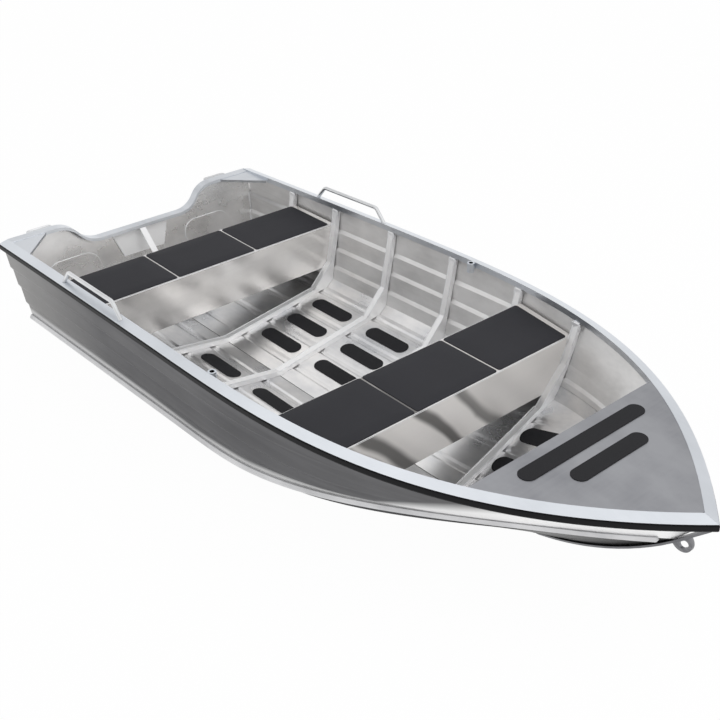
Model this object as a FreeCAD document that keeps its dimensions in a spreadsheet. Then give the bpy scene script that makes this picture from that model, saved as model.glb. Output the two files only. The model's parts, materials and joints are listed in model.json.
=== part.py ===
import FreeCAD, Part
import math
import os
import Sketcher
from FreeCAD import Vector

# A welded aluminium rowing boat. X points to the bow, Y to port and Z up. The origin is on the
# centreline, half way along the hull, at the height where the empty boat floats.
# Stations along the hull are measured from the top of the transom.

doc = FreeCAD.newDocument("rowing_boat")
sheet = doc.addObject("Spreadsheet::Sheet", "sizes")

SIZES = (
    # Hull form
    ("hull_length", 3700, "top of the transom to the tip of the bow"),
    ("transom_half_beam", 776, "centreline to the outer edge of the gunwale at the transom"),
    ("beam_growth", 56, "how much the half beam would grow over the whole length"),
    ("bow_curve_start", 1350, "station where the gunwale starts to close in"),
    ("bow_fullness", 3.5, "power of the gunwale's curve to the bow"),
    ("sheer_aft", 440, "height of the gunwale's outer edge at the transom"),
    ("sheer_lift", 176, "rise that the sheer line starts with, over the length"),
    ("sheer_droop", 119, "what the sheer line loses again at the bow"),
    ("chine_inset", 69, "chine in from the gunwale's outer edge at the transom"),
    ("chine_curve_start", 1765, "station where the chine starts to close in"),
    ("chine_end_back", 145, "tip of the bow back to where the chine meets the stem"),
    ("chine_fullness", 2.3, "power of the chine's curve to the stem"),
    ("chine_aft", 34.5, "height of the chine at the transom"),
    ("chine_rise", 126, "steady rise of the chine over the length"),
    ("chine_sweep", 188, "extra rise of the chine at the bow"),
    ("sweep_start", 1700, "station where the chine's extra rise starts"),
    ("sweep_end_back", 410, "tip of the bow back to where it is complete"),
    ("keel_depth", 68, "bottom plate below the waterline at the keel"),
    ("forefoot_length", 1578, "tip of the bow back to where the keel starts to rise"),
    ("forefoot_rise", 561, "rise of the keel and stem to the tip of the bow"),
    ("forefoot_power", 3.157, "power of the forefoot's curve"),
    ("transom_rake", 13, "degrees that the transom leans aft"),
    # Plates
    ("plate", 2.5, "thickness of the hull plates"),
    ("fit_gap", 0.3, "clearance between pieces that are welded together"),
    ("lap_depth", 9, "depth of each pressed step in the side"),
    ("swage_depth", 6, "depth of the grooves pressed into the bottom"),
    ("swage_width", 46, "width of each groove"),
    # Gunwale
    ("rail_width", 47, "width of the gunwale's flat top"),
    ("rail_rise", 12, "how much its inner edge stands above its outer edge"),
    ("rail_wall", 4, "thickness of its walls"),
    ("rail_lip", 28, "height of its inner lip"),
    ("rail_box", 16, "width of its outer chamber"),
    ("rail_depth", 30, "height of its outer face"),
    ("rubber_height", 24, "height of the rubbing strip"),
    ("rubber_proud", 3, "how far the rubbing strip stands out"),
    # Keel and chine
    ("keel_end_back", 48, "foot of the stem back to the end of the bottom's centre seam"),
    ("keel_width", 30, "width of the keel bar"),
    ("keel_bar", 10, "depth of the keel bar"),
    ("strake_width", 16, "width of the chine strake"),
    ("strake_height", 22, "height of the chine strake"),
    ("strake_end_back", 188, "tip of the bow back to the end of the chine strake"),
    # Ribs
    ("rib_width", 34, "width of a rib along the hull"),
    ("rib_depth", 25, "how far a rib stands off the side and the floor"),
    ("knee_rise", 105, "height of a rib's knee above the chine"),
    ("knee_reach", 105, "how far the knee reaches in from the side"),
    # Thwarts
    ("aft_thwart_start", 473, "station of the aft thwart's aft face"),
    ("fore_thwart_back", 1203, "tip of the bow back to the fore thwart's fore face"),
    ("aft_thwart_length", 332, "aft thwart, aft face to fore face"),
    ("fore_thwart_length", 349, "fore thwart, aft face to fore face"),
    ("aft_thwart_top", 374, "height of the aft thwart's plate"),
    ("fore_thwart_top", 435, "height of the fore thwart's plate"),
    ("thwart_depth", 240, "height of a thwart's box"),
    ("thwart_end_gap", 12, "gap between a thwart's end and the side"),
    ("thwart_rim", 6, "bare plate left along the pads"),
    ("pad_end_rim", 18, "bare plate left at the outer ends of the pads"),
    ("pad_thick", 4, "thickness of a thwart's pad"),
    ("pad_gap", 11, "gap between two pads"),
    ("pad_corner", 11, "corner radius of a pad"),
    ("centre_pad_half", 227, "half the length of a thwart's middle pad"),
    # Floor pads
    ("tread_thick", 2.5, "thickness of the floor and deck pads"),
    ("tread_width", 80, "width of a floor pad"),
    ("last_pads_ahead", 9, "last rib to the aft ends of the foremost floor pads"),
    # Deck
    ("deck_length", 664, "tip of the bow back to the deck's aft edge"),
    ("deck_plate", 3, "thickness of the deck"),
    ("deck_flange", 28, "height of the fold at the deck's aft edge"),
    ("long_pad_ahead", 86, "deck's aft edge to the middle of the long deck pad"),
    ("long_pad_length", 678, "length of the long deck pad"),
    ("deck_pad_pitch", 120, "long deck pad to the short one, middle to middle"),
    ("short_pad_length", 400, "length of the short deck pad"),
    ("deck_pad_width", 72, "width of the deck pads"),
    # Transom
    ("transom_plate", 3, "thickness of the transom"),
    ("cap_width", 48, "width of the transom's cap"),
    ("cap_wall", 4, "thickness of the cap"),
    ("cap_lip", 16, "height of the cap's folded edges"),
    ("cap_rise", 9, "cap above the gunwale's outer edge at the transom"),
    ("motor_cut_depth", 112, "depth of the cut-out for a motor"),
    ("motor_cut_half", 248, "half the width of the cut-out's flat"),
    ("shoulder_run", 230, "length of the slope from the cut-out's flat up to the cap's level"),
    ("oval_height", 150, "height of the oval"),
    ("oval_pad_gap", 95, "motor pad's top corner to the oval beside it"),
    ("oval_side_gap", 206, "oval to the gunwale's outer edge"),
    ("oval_level", 190, "height of the middle of the oval"),
    ("oval_depth", 7, "how far the oval is pressed in"),
    ("motor_pad_top_half", 175, "half the motor pad's width at the top"),
    ("motor_pad_foot_half", 125, "half the motor pad's width at the foot"),
    ("motor_pad_height", 140, "height of the motor pad"),
    ("motor_pad_thick", 8, "thickness of the motor pad"),
    ("brace_width", 34, "width of the transom's brace"),
    ("brace_thick", 6, "thickness of the brace"),
    ("gusset_leg", 190, "length of a corner plate's sides"),
    ("gusset_drop", 6, "corner plate below the gunwale's inner edge"),
    ("gusset_flange", 14, "height of the corner plate's fold"),
    # Fittings
    ("rowlock_back", 313, "fore thwart's aft face back to the rowlock sockets"),
    ("socket_diameter", 36, "outside of a rowlock socket"),
    ("socket_bore", 20, "hole of a rowlock socket"),
    ("socket_length", 46, "length of a rowlock socket"),
    ("handle_start", 659, "station of a side handle's aft foot"),
    ("handle_length", 522, "side handle, foot to foot"),
    ("handle_slope", 58, "how far along the hull a handle's leg leans"),
    ("handle_height", 72, "height of the side handle above the gunwale"),
    ("handle_inset", 26, "handle in from the gunwale's outer edge"),
    ("handle_tube", 19, "diameter of the side handle's tube"),
    ("handle_bend", 30, "bend radius of the side handle"),
    ("loop_span", 130, "transom handle, foot to foot"),
    ("loop_reach", 34, "how far a transom handle stands aft"),
    ("loop_tube", 12, "diameter of a transom handle's tube"),
    ("loop_inset", 231, "gunwale's outer edge in to the middle of a transom handle"),
    ("loop_drop", 9, "middle of a transom handle's tube below the cap's top"),
    ("eye_diameter", 88, "outside of the bow eye"),
    ("eye_thick", 12, "thickness of the bow eye"),
    ("eye_hole_length", 42, "length of the bow eye's hole"),
    ("eye_hole_width", 27, "width of the bow eye's hole"),
    ("eye_offset", 2, "middle of the bow eye's round forward of the stem bar"),
    ("eye_hole_out", 14, "middle of its hole forward of the middle of its round"),
    ("eye_level", 354, "height of the bow eye"),
)

for row, (name, value, meaning) in enumerate(SIZES, start=1):
    sheet.set("A%d" % row, name)
    sheet.set("B%d" % row, str(value))
    sheet.set("C%d" % row, meaning)
    sheet.setAlias("B%d" % row, name)
doc.recompute()


def size(name):
    """The value of a named size in the sheet."""
    return float(getattr(sheet, name))


hull_length = size("hull_length")
transom_half_beam = size("transom_half_beam")
chine_half_beam = transom_half_beam - size("chine_inset")
chine_curve_end = hull_length - size("chine_end_back")
deck_start = hull_length - size("deck_length")
fore_thwart_start = hull_length - size("fore_thwart_back") - size("fore_thwart_length")
rowlock_station = fore_thwart_start - size("rowlock_back")
plate = size("plate")
fit_gap = size("fit_gap")
rake_slope = math.tan(math.radians(size("transom_rake")))
PORT = 1
STARBOARD = -1
SIDES = (("port", PORT), ("starboard", STARBOARD))


def point(station, breadth, height):
    """A point in the boat's frame, from a station measured from the transom."""
    return Vector(station - hull_length / 2, breadth, height)


def clamp(value):
    return max(0.0, min(1.0, value))


def smooth_step(value):
    """0 below 0, 1 above 1, and a smooth rise between."""
    bounded = clamp(value)
    return bounded * bounded * (3 - 2 * bounded)


def solve(function, low, high):
    """Where a function that falls from low to high crosses zero."""
    for _ in range(60):
        middle = (low + high) / 2
        if function(middle) > 0:
            low = middle
        else:
            high = middle
    return (low + high) / 2


# Lines of the hull


def sheer(station):
    """Height of the gunwale's outer edge."""
    share = station / hull_length
    return size("sheer_aft") + size("sheer_lift") * share - size("sheer_droop") * share ** 3


def gunwale_breadth(station):
    """Half breadth at the gunwale's outer edge."""
    start = size("bow_curve_start")
    share = max(0.0, (station - start) / (hull_length - start))
    straight = transom_half_beam + size("beam_growth") * station / hull_length
    return straight * (1 - share ** size("bow_fullness"))


def gunwale_spread(station):
    """Length along the gunwale for each millimetre along the hull."""
    slope = (gunwale_breadth(station + 1) - gunwale_breadth(station - 1)) / 2
    return math.sqrt(1 + slope * slope)


def rail_breadth(station, inset):
    """Half breadth of a line that lies a given distance inside the gunwale's outer edge."""
    return gunwale_breadth(station) - inset * gunwale_spread(station)


def rail_top(station, inset):
    """Height of the gunwale's top, which slopes up towards its inner edge."""
    return sheer(station) + size("rail_rise") * inset / size("rail_width")


def chine_breadth(station):
    start = size("chine_curve_start")
    share = clamp((station - start) / (chine_curve_end - start))
    return chine_half_beam * (1 - share ** size("chine_fullness"))


def chine_height(station):
    start = size("sweep_start")
    share = (station - start) / (hull_length - size("sweep_end_back") - start)
    steady = size("chine_aft") + size("chine_rise") * station / hull_length
    return steady + size("chine_sweep") * smooth_step(share)


def keel_height(station):
    """Height of the bottom plate's underside on the centreline."""
    share = clamp(1 - (hull_length - station) / size("forefoot_length"))
    return size("forefoot_rise") * share ** size("forefoot_power") - size("keel_depth")


def transom_station(height):
    """Station of the transom's outer face at a height."""
    return (size("sheer_aft") - height) * rake_slope


def station_on_transom(height_of):
    """Station where a line of the hull meets the transom's outer face."""
    station = 0.0
    for _ in range(20):
        station = transom_station(height_of(station))
    return station


# The side plate runs between the chine and the gunwale. A section of it is a straight slice,
# numbered from 0 at the transom to 1 at the stem, and a place on it from 0 at the chine to 1.

PLATE_INSET = size("rail_box") + fit_gap


def plate_top(station):
    return rail_top(station, PLATE_INSET) - size("rail_wall") - fit_gap


# Each pressed step has its place aft, its place at the bow, and the sections where it starts and
# ends to die out.
LAP_SHARES = ((0.18, 0.11, 0.75, 1.0), (0.425, 0.294, 0.55, 0.8), (0.665, 0.654, 0.5, 0.75))
LAP_HALF_SHARE = 0.022
LAP_SHIFT_START_SHARE = 0.48
LAP_SHIFT_END_SHARE = 0.75
STEM_HALF = plate * 1.6 + fit_gap / 2

chine_first = station_on_transom(chine_height)
chine_last = solve(lambda x: chine_breadth(x) - STEM_HALF, chine_first, chine_curve_end)
top_first = transom_station(plate_top(0.0))
top_last = solve(lambda x: rail_breadth(x, PLATE_INSET) - STEM_HALF, top_first, hull_length)


def side_section_at(station, place):
    """Section of the side plate that a station lies on, at a place."""
    first = chine_first + (top_first - chine_first) * place
    last = chine_last + (top_last - chine_last) * place
    return clamp((station - first) / (last - first))


def side_edges(section):
    """Stations of a section's ends at the chine and at the top."""
    low = chine_first + (chine_last - chine_first) * section
    high = top_first + (top_last - top_first) * section
    return low, high


def laps(section):
    """Place and depth of each pressed step, which sink and die out towards the stem."""
    run = LAP_SHIFT_END_SHARE - LAP_SHIFT_START_SHARE
    shift = smooth_step((section - LAP_SHIFT_START_SHARE) / run)
    steps = []
    for aft, fore, fade_start, fade_end in LAP_SHARES:
        fade = smooth_step((section - fade_start) / (fade_end - fade_start))
        steps.append((aft + (fore - aft) * shift, size("lap_depth") * (1 - fade)))
    return steps


def side_places(section):
    """Places of the corners of a section of the side plate."""
    places = [0.0]
    for middle, _ in laps(section):
        places += [middle - LAP_HALF_SHARE, middle + LAP_HALF_SHARE]
    return places + [1.0]


def side_point(section, place):
    """Station, half breadth and height of the side's outer face."""
    low, high = side_edges(section)
    out = 0.0
    pressed = 0.0
    for middle, depth in laps(section):
        out += depth * clamp((place - middle + LAP_HALF_SHARE) / (2 * LAP_HALF_SHARE))
        pressed += depth
    bottom = chine_breadth(low)
    rise = rail_breadth(high, PLATE_INSET) - bottom - pressed
    breadth = bottom + rise * place + out
    height = chine_height(low) + (plate_top(high) - chine_height(low)) * place
    return low + (high - low) * place, breadth, height


def side_thickness(section):
    """The side plate's thickness measured across the boat."""
    return plate * min(gunwale_spread(side_edges(section)[1]), 1.6)


def side_inner(station, place):
    """Half breadth and height of the side's inner face at a station."""
    section = side_section_at(station, place)
    _, breadth, height = side_point(section, place)
    return breadth - side_thickness(section), height


# The bottom plate runs between the keel and the chine. A place on it goes from 0 at the keel
# to 1 at the chine. Grooves are pressed along it between the rows of floor pads. They run straight
# along the boat, so each has its middle as a share of the chine's half breadth at the transom, and
# the place where it dies out as the chine closes in on it.

SWAGE_SHARES = ((0.14, 0.5), (0.375, 0.66), (0.625, 0.8), (0.875, 0.905))
SWAGE_EDGE_SHARE = 0.45
SWAGE_FADE_SHARE = 0.03
CURL_SHARE = 0.94
CURL_RISE_SHARE = 0.73

keel_first = station_on_transom(keel_height)
keel_last = chine_last - size("keel_end_back")


def bottom_edges(section):
    keel = keel_first + (keel_last - keel_first) * section
    chine = chine_first + (chine_last - chine_first) * section
    return keel, chine


def bottom_corners(section):
    """Places of the corners of a section of the bottom plate, each with its share of a groove."""
    half = size("swage_width") / 2 / chine_half_beam
    edge = half * SWAGE_EDGE_SHARE
    ends = swage_fade(section)
    corners = [(0.0, 0.0)]
    for share, limit in SWAGE_SHARES:
        reach = share * chine_half_beam / chine_breadth(bottom_edges(section)[1])
        deep = ends * smooth_step((limit - reach) / SWAGE_FADE_SHARE)
        middle = min(reach, limit)
        corners += [(middle - half, 0.0), (middle - edge, deep), (middle + edge, deep), (middle + half, 0.0)]
    return corners + [(CURL_SHARE, 0.0), (1.0, 0.0)]


def swage_fade(section):
    return smooth_step(section / 0.06) * smooth_step((1 - section) / 0.25)


def bottom_rise(place, section):
    """Share of the way up from keel to chine, without the grooves."""
    straight = CURL_RISE_SHARE + (1 - CURL_RISE_SHARE) * 0.5 * smooth_step((section - 0.5) / 0.4)
    knee = min(place, CURL_SHARE) / CURL_SHARE * straight
    return knee + max(0.0, place - CURL_SHARE) / (1 - CURL_SHARE) * (1 - straight)


def offset_line(line, distance):
    """A line of (breadth, height) points moved to its left by a distance, with mitred corners."""
    normals = []
    for (y0, z0), (y1, z1) in zip(line, line[1:]):
        run = math.hypot(y1 - y0, z1 - z0)
        normals.append(((z0 - z1) / run, (y1 - y0) / run))
    moved = []
    for index, (y, z) in enumerate(line):
        before = normals[max(index - 1, 0)]
        after = normals[min(index, len(normals) - 1)]
        share = 1 + before[0] * after[0] + before[1] * after[1]
        moved.append((y + distance * (before[0] + after[0]) / share,
                      z + distance * (before[1] + after[1]) / share))
    return moved


def bottom_line(section, lift):
    """Corners of a section of the bottom plate, lifted square off its outer face."""
    keel, chine = bottom_edges(section)
    low = keel_height(keel)
    high = chine_height(chine)
    wide = chine_breadth(chine)
    lean = math.atan2((high - low) * CURL_RISE_SHARE, wide * CURL_SHARE)
    start = fit_gap / 2 + plate * math.sin(lean)
    line = []
    for place, groove in bottom_corners(section):
        breadth = start + (wide - start) * place
        height = low + (high - low) * bottom_rise(place, section)
        line.append((breadth, height - size("swage_depth") * groove))
    if lift:
        line = offset_line(line, lift)
    return line


def section_station(section, height):
    """Station of a point of a bottom section at a height, as sections lean near the ends."""
    keel, chine = bottom_edges(section)
    low = keel_height(keel)
    high = chine_height(chine)
    return keel + (chine - keel) * (height - low) / (high - low)


def floor_height(station, breadth):
    """Height of the floor, the bottom plate's inner face between its grooves."""
    section = clamp((station - keel_first) / (keel_last - keel_first))
    for _ in range(12):
        height = interpolate(floor_line(section, plate), breadth)
        here = section_station(section, height)
        section = clamp(section + (station - here) / (keel_last - keel_first))
    return height


def floor_line(section, lift):
    """A section of the bottom plate, lifted off its outer face, as if it had no grooves."""
    line = bottom_line(section, lift)
    grooves = len(SWAGE_SHARES)
    floors = [1 + 4 * number + edge for number in range(grooves) for edge in (0, 3)]
    return [line[0]] + [line[index] for index in floors] + line[1 + 4 * grooves:]


def interpolate(line, breadth):
    """Height of a line of (breadth, height) points at a breadth."""
    for (y0, z0), (y1, z1) in zip(line, line[1:]):
        if breadth <= y1:
            return z0 + (z1 - z0) * (breadth - y0) / (y1 - y0)
    return line[-1][1]


# Building blocks


def closed_wire(points):
    return Part.makePolygon(points + [points[0]])


def loft(sections, ruled=False):
    """A solid through closed outlines with the same number of corners."""
    return Part.makeLoft([closed_wire(outline) for outline in sections], True, ruled)


def mirrored(points, side):
    return [Vector(p.x, p.y * side, p.z) for p in points]


def outward(shape):
    """The solid with its faces pointing out."""
    solid = shape.Solids[0] if shape.Solids else Part.Solid(shape.Shells[0])
    if solid.Volume < 0:
        solid.reverse()
    return solid


NODES = []


def keep(thing, name):
    """Name a finished sub-part and put it on the list of those that are written out."""
    thing.Label = name
    NODES.append(thing)
    return thing


def place_shape(name, shape):
    """A sub-part whose shape follows the hull's lines."""
    feature = doc.addObject("Part::Feature", name)
    feature.Shape = shape
    feature.Placement = FreeCAD.Placement()
    return keep(feature, name)


def sections_between(first, last, count):
    """Section numbers, closer together towards the bow."""
    return [first + (last - first) * math.sin(math.pi / 2 * k / count) for k in range(count + 1)]


HULL_SECTIONS = 22


def side_plate(side):
    start = (plate + fit_gap)
    outlines = []
    for section in sections_between(0.0, 1.0, HULL_SECTIONS):
        low, high = side_edges(section)
        lowest = start / (plate_top(high) - chine_height(low))
        outer = []
        inner = []
        for place in [lowest] + side_places(section)[1:]:
            station, breadth, height = side_point(section, place)
            outer.append(point(station, breadth, height))
            inner.append(point(station, breadth - side_thickness(section), height))
        outlines.append(mirrored(outer + inner[::-1], side))
    return outward(loft(outlines))


def bottom_plate(side):
    outlines = []
    for section in sections_between(0.0, 1.0, HULL_SECTIONS):
        outer = bottom_line(section, 0)
        inner = bottom_line(section, plate)
        outline = [point(section_station(section, z), y, z) for y, z in outer + inner[::-1]]
        outlines.append(mirrored(outline, side))
    return outward(loft(outlines))


def keel_bar():
    """A flat bar under the keel seam and up the stem."""
    half = size("keel_width") / 2
    depth = size("keel_bar")
    path = []
    steps = 18
    for k in range(steps + 1):
        station = keel_first + (keel_last - keel_first) * k / steps
        path.append((station, keel_height(station)))
    foot = (chine_last, chine_height(chine_last))
    head = (top_last, plate_top(top_last) - size("rail_depth"))
    path += [foot, ((foot[0] + head[0]) / 2, (foot[1] + head[1]) / 2), head]
    outlines = []
    for index, (station, height) in enumerate(path):
        before = path[max(index - 1, 0)]
        after = path[min(index + 1, len(path) - 1)]
        run = math.hypot(after[0] - before[0], after[1] - before[1])
        down = ((after[1] - before[1]) / run, (before[0] - after[0]) / run)
        outline = []
        for y, away in ((-half, fit_gap), (half, fit_gap), (half * 0.8, depth), (-half * 0.8, depth)):
            outline.append(point(station + down[0] * away, y, height + down[1] * away))
        outlines.append(outline)
    keel = loft(outlines[:steps + 1])
    stem = loft(outlines[steps:], True)
    return outward(keel.fuse(stem).removeSplitter())


def chine_strake(side):
    wide = size("strake_width")
    tall = size("strake_height")
    profile = ((fit_gap, tall * 0.6), (fit_gap, -tall * 0.3), (wide * 0.8, -tall * 0.4),
               (wide, -tall * 0.3), (wide, 0.0), (wide * 0.45, tall * 0.6))
    last = hull_length - size("strake_end_back")
    outlines = []
    for k in range(HULL_SECTIONS + 1):
        station = chine_first + (last - chine_first) * math.sin(math.pi / 2 * k / HULL_SECTIONS)
        slope = (chine_breadth(station + 1) - chine_breadth(station - 1)) / 2
        spread = math.sqrt(1 + slope * slope)
        breadth = chine_breadth(station)
        height = chine_height(station)
        place = profile[0][1] / (plate_top(station) - height)
        flare = side_point(side_section_at(station, place), place)[1] - breadth
        outline = []
        for out, up in profile:
            lean = flare * max(0.0, up / profile[0][1])
            outline.append(point(station, breadth + lean + out * spread, height + up))
        outlines.append(mirrored(outline, side))
    return outward(loft(outlines))


def rail_sections(profile, side):
    """Outlines of a gunwale piece, from (inset, height) corners, square at the transom."""
    ends = {}
    for inset, _ in profile:
        if inset not in ends:
            ends[inset] = solve(lambda x: rail_breadth(x, inset) - fit_gap / 2, 0.0, 2 * hull_length)
    outlines = []
    for k in range(HULL_SECTIONS + 1):
        share = math.sin(math.pi / 2 * k / HULL_SECTIONS)
        outline = []
        for inset, up in profile:
            station = ends[inset] * share
            breadth = rail_breadth(station, inset)
            outline.append(point(station, breadth, sheer(station) + up))
        outlines.append(mirrored(outline, side))
    return outlines


def gunwale(side):
    wide = size("rail_width")
    rise = size("rail_rise")
    wall = size("rail_wall")
    lip = size("rail_lip")
    box = size("rail_box")
    deep = size("rail_depth")
    groove_top = wall
    groove_foot = wall + size("rubber_height")
    groove = wall * 0.75
    slope = rise / wide
    profile = ((0.0, 0.0), (wide, rise), (wide, rise - lip), (wide - wall, rise - lip),
               (wide - wall, rise - slope * wall - wall), (box, slope * box - wall), (box, -deep), (0.0, -deep),
               (0.0, -groove_foot), (groove, -groove_foot), (groove, -groove_top), (0.0, -groove_top))
    return outward(loft(rail_sections(profile, side)))


def rubbing_strip(side):
    wall = size("rail_wall")
    proud = size("rubber_proud")
    top = wall + fit_gap
    foot = wall + size("rubber_height") - fit_gap
    deep = wall * 0.75 - fit_gap
    profile = ((deep, -top), (-proud * 0.5, -top), (-proud, -top - proud), (-proud, -foot + proud),
               (-proud * 0.5, -foot), (deep, -foot))
    return outward(loft(rail_sections(profile, side)))


# Transom

PANEL_FOOT_SHARE = 0.03
CAP_OVERHANG = size("cap_wall") + fit_gap
CAP_LEVEL = size("sheer_aft") + size("cap_rise")
CUT_LIP_FOOT = CAP_LEVEL - size("motor_cut_depth") - size("cap_lip") - fit_gap


def cap_line(drop):
    """The transom's top edge as curves in its own plane, from starboard to port."""
    level = CAP_LEVEL - drop
    floor = level - size("motor_cut_depth")
    inner = size("motor_cut_half")
    outer = inner + size("shoulder_run")
    end = rail_breadth(0.0, size("rail_width")) - fit_gap
    half_run = (outer - inner) / 2
    half_drop = (level - floor) / 2
    middle = (inner + half_run, floor + half_drop)
    radius = (half_run ** 2 + half_drop ** 2) / (2 * half_drop)
    turn = math.atan2(half_drop, half_run)

    def on_plane(y, z):
        return point(transom_station(z), y, z)

    edges = []
    for side in (STARBOARD, PORT):
        low = (inner + radius * math.sin(turn), floor + radius * (1 - math.cos(turn)))
        high = (outer - radius * math.sin(turn), level - radius * (1 - math.cos(turn)))
        straight = Part.makeLine(on_plane(side * end, level), on_plane(side * outer, level))
        upper = Part.Arc(on_plane(side * outer, level), on_plane(side * high[0], high[1]),
                         on_plane(side * middle[0], middle[1])).toShape()
        lower = Part.Arc(on_plane(side * middle[0], middle[1]), on_plane(side * low[0], low[1]),
                         on_plane(side * inner, floor)).toShape()
        edges.append([straight, upper, lower])
    flat = Part.makeLine(on_plane(-inner, floor), on_plane(inner, floor))
    return edges[0] + [flat] + edges[1][::-1]


def line_face(upper, lower):
    """The flat face between two lines that run the same way."""
    start = Part.makeLine(upper[0].firstVertex().Point, lower[0].firstVertex().Point)
    tops = Part.sortEdges(upper)[0]
    feet = Part.sortEdges(lower)[0]
    top_wire = Part.Wire(tops)
    foot_wire = Part.Wire(feet)
    ends_top = [v.Point for v in top_wire.OrderedVertexes]
    ends_foot = [v.Point for v in foot_wire.OrderedVertexes]
    if (ends_top[0] - ends_foot[0]).Length > (ends_top[0] - ends_foot[-1]).Length:
        ends_foot.reverse()
    joins = [Part.makeLine(ends_top[0], ends_foot[0]), Part.makeLine(ends_top[-1], ends_foot[-1])]
    wire = Part.Wire(Part.sortEdges(tops + feet + joins)[0])
    return Part.Face(wire)


def transom_cap():
    wall = size("cap_wall")
    wide = size("cap_width")
    lip = size("cap_lip")
    top = line_face(cap_line(0.0), cap_line(wall)).extrude(Vector(wide, 0, 0))
    edge = line_face(cap_line(0.0), cap_line(lip))
    aft = edge.extrude(Vector(wall, 0, 0))
    fore = edge.extrude(Vector(wall, 0, 0))
    fore.translate(Vector(wide - wall, 0, 0))
    for piece in (top, aft, fore):
        piece.translate(Vector(-CAP_OVERHANG, 0, 0))
    return outward(top.fuse([aft, fore]).removeSplitter())


def transom_panel():
    """The transom's plate, inside the hull plates, with an oval pressed in on each side."""
    thick = size("transom_plate")
    side_line = []
    for place in [PANEL_FOOT_SHARE] + side_places(0.0)[1:]:
        _, breadth, height = side_point(0.0, place)
        side_line.append((breadth - side_thickness(0.0) - 2 * fit_gap, height))
    drop = size("cap_wall") + fit_gap + thick * math.sin(math.atan(rake_slope))
    level = CAP_LEVEL - drop
    inner_edge = rail_breadth(0.0, size("rail_width"))
    lip_foot = sheer(0.0) + size("rail_rise") - size("rail_lip") - fit_gap
    side_line = [(y, z) for y, z in side_line if z < lip_foot]
    last_y, last_z = side_line[-1]
    side_line.append((last_y, lip_foot))
    side_line.append((inner_edge - fit_gap, lip_foot))
    side_line.append((inner_edge - fit_gap, level))
    floor = [(y, z + fit_gap) for y, z in bottom_line(0.0, plate) if y < side_line[0][0] - 1]
    corner = (side_line[0][0], interpolate(bottom_line(0.0, plate), side_line[0][0]) + fit_gap)
    half = floor + [corner] + side_line[1:]
    half[0] = (0.0, half[0][1])
    right = [point(transom_station(z), y, z) for y, z in half]
    left = mirrored(right[::-1], STARBOARD)
    outline = Part.makePolygon(left[:-1] + right)
    closing = cap_line(drop)
    wire = Part.Wire(Part.sortEdges(outline.Edges + closing)[0])
    normal = Vector(math.cos(math.atan(rake_slope)), 0, math.sin(math.atan(rake_slope)))
    panel = Part.Face(wire).extrude(normal * thick)
    for _, side in SIDES:
        outer = oval_face(side, 0.0).extrude(normal * (size("oval_depth") + thick))
        hollow = oval_face(side, thick).extrude(normal * size("oval_depth"))
        panel = panel.fuse(outer).cut(hollow)
    return outward(panel.removeSplitter())


def oval_face(side, margin):
    """A long round outline on the transom's outer face."""
    inner_end = size("motor_pad_top_half") + size("oval_pad_gap")
    outer_end = transom_half_beam - size("oval_side_gap")
    radius = size("oval_height") / 2 - margin
    straight = (outer_end - inner_end - size("oval_height")) / 2
    middle = (inner_end + outer_end) / 2 * side
    slant = math.cos(math.atan(rake_slope))
    normal = Vector(slant, 0, math.sin(math.atan(rake_slope)))

    def on_plane(y, up):
        z = size("oval_level") + up * slant
        return point(transom_station(z), y, z)

    top = Part.makeLine(on_plane(middle - straight, radius), on_plane(middle + straight, radius))
    right = Part.Arc(on_plane(middle + straight, radius), on_plane(middle + straight + radius, 0),
                     on_plane(middle + straight, -radius)).toShape()
    foot = Part.makeLine(on_plane(middle + straight, -radius), on_plane(middle - straight, -radius))
    left = Part.Arc(on_plane(middle - straight, -radius), on_plane(middle - straight - radius, 0),
                    on_plane(middle - straight, radius)).toShape()
    return Part.Face(Part.Wire([top, right, foot, left]))


# Ribs


def lap_foot(station, number):
    """Place of the inner corner of a pressed step at a station."""
    place = LAP_SHARES[number][0]
    for _ in range(5):
        section = side_section_at(station, place)
        place = laps(section)[number][0] - LAP_HALF_SHARE
    return place


def rib_side_line(station):
    """The rib's outer edge up the side, through the innermost corners of the steps."""
    places = [0.0] + [lap_foot(station, number) for number in range(len(LAP_SHARES))] + [1.0]
    corners = []
    for place in places:
        breadth, height = side_inner(station, place)
        corners.append((breadth - fit_gap, height))
    return corners


def rib_outline(station):
    """Half a rib's outline at a station: the line on the plates, and the line towards the cockpit."""
    deep = size("rib_depth")
    corners = rib_side_line(station)
    chine = corners[0]
    top_limit = sheer(station) - size("rail_lip") + size("rail_rise") - fit_gap
    upper = [corner for corner in corners[1:] if corner[1] < top_limit - 5]
    before = upper[-1]
    after = corners[len(upper) + 1]
    share = (top_limit - before[1]) / (after[1] - before[1])
    head = (before[0] + (after[0] - before[0]) * share, top_limit)
    floor = [(0.0, floor_height(station, 1.0) + fit_gap)]
    inner_edge = chine[0] - 3 * fit_gap
    steps = 4
    for k in range(1, steps + 1):
        breadth = inner_edge * CURL_SHARE * k / steps
        floor.append((breadth, floor_height(station, breadth) + fit_gap))
    corner_height = floor_height(station, inner_edge) + 2 * fit_gap
    outer = floor + [(inner_edge, max(corner_height, chine[1]))] + upper + [head]
    knee_top = chine[1] + size("knee_rise")
    knee_in = chine[0] - size("knee_reach") - deep
    side_at_knee = interpolate_side(corners, knee_top) - deep
    floor_at_knee = floor_height(station, knee_in) + fit_gap + deep
    inner = [(head[0] - deep, top_limit)]
    inner += [(y - deep, z) for y, z in upper[::-1] if z > knee_top + 5]
    inner += [(side_at_knee, knee_top), (knee_in, floor_at_knee), (0.0, floor[0][1] + deep)]
    return outer, inner


def interpolate_side(corners, height):
    for (y0, z0), (y1, z1) in zip(corners, corners[1:]):
        if height <= z1:
            return y0 + (y1 - y0) * (height - z0) / (z1 - z0)
    return corners[-1][0]


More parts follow.
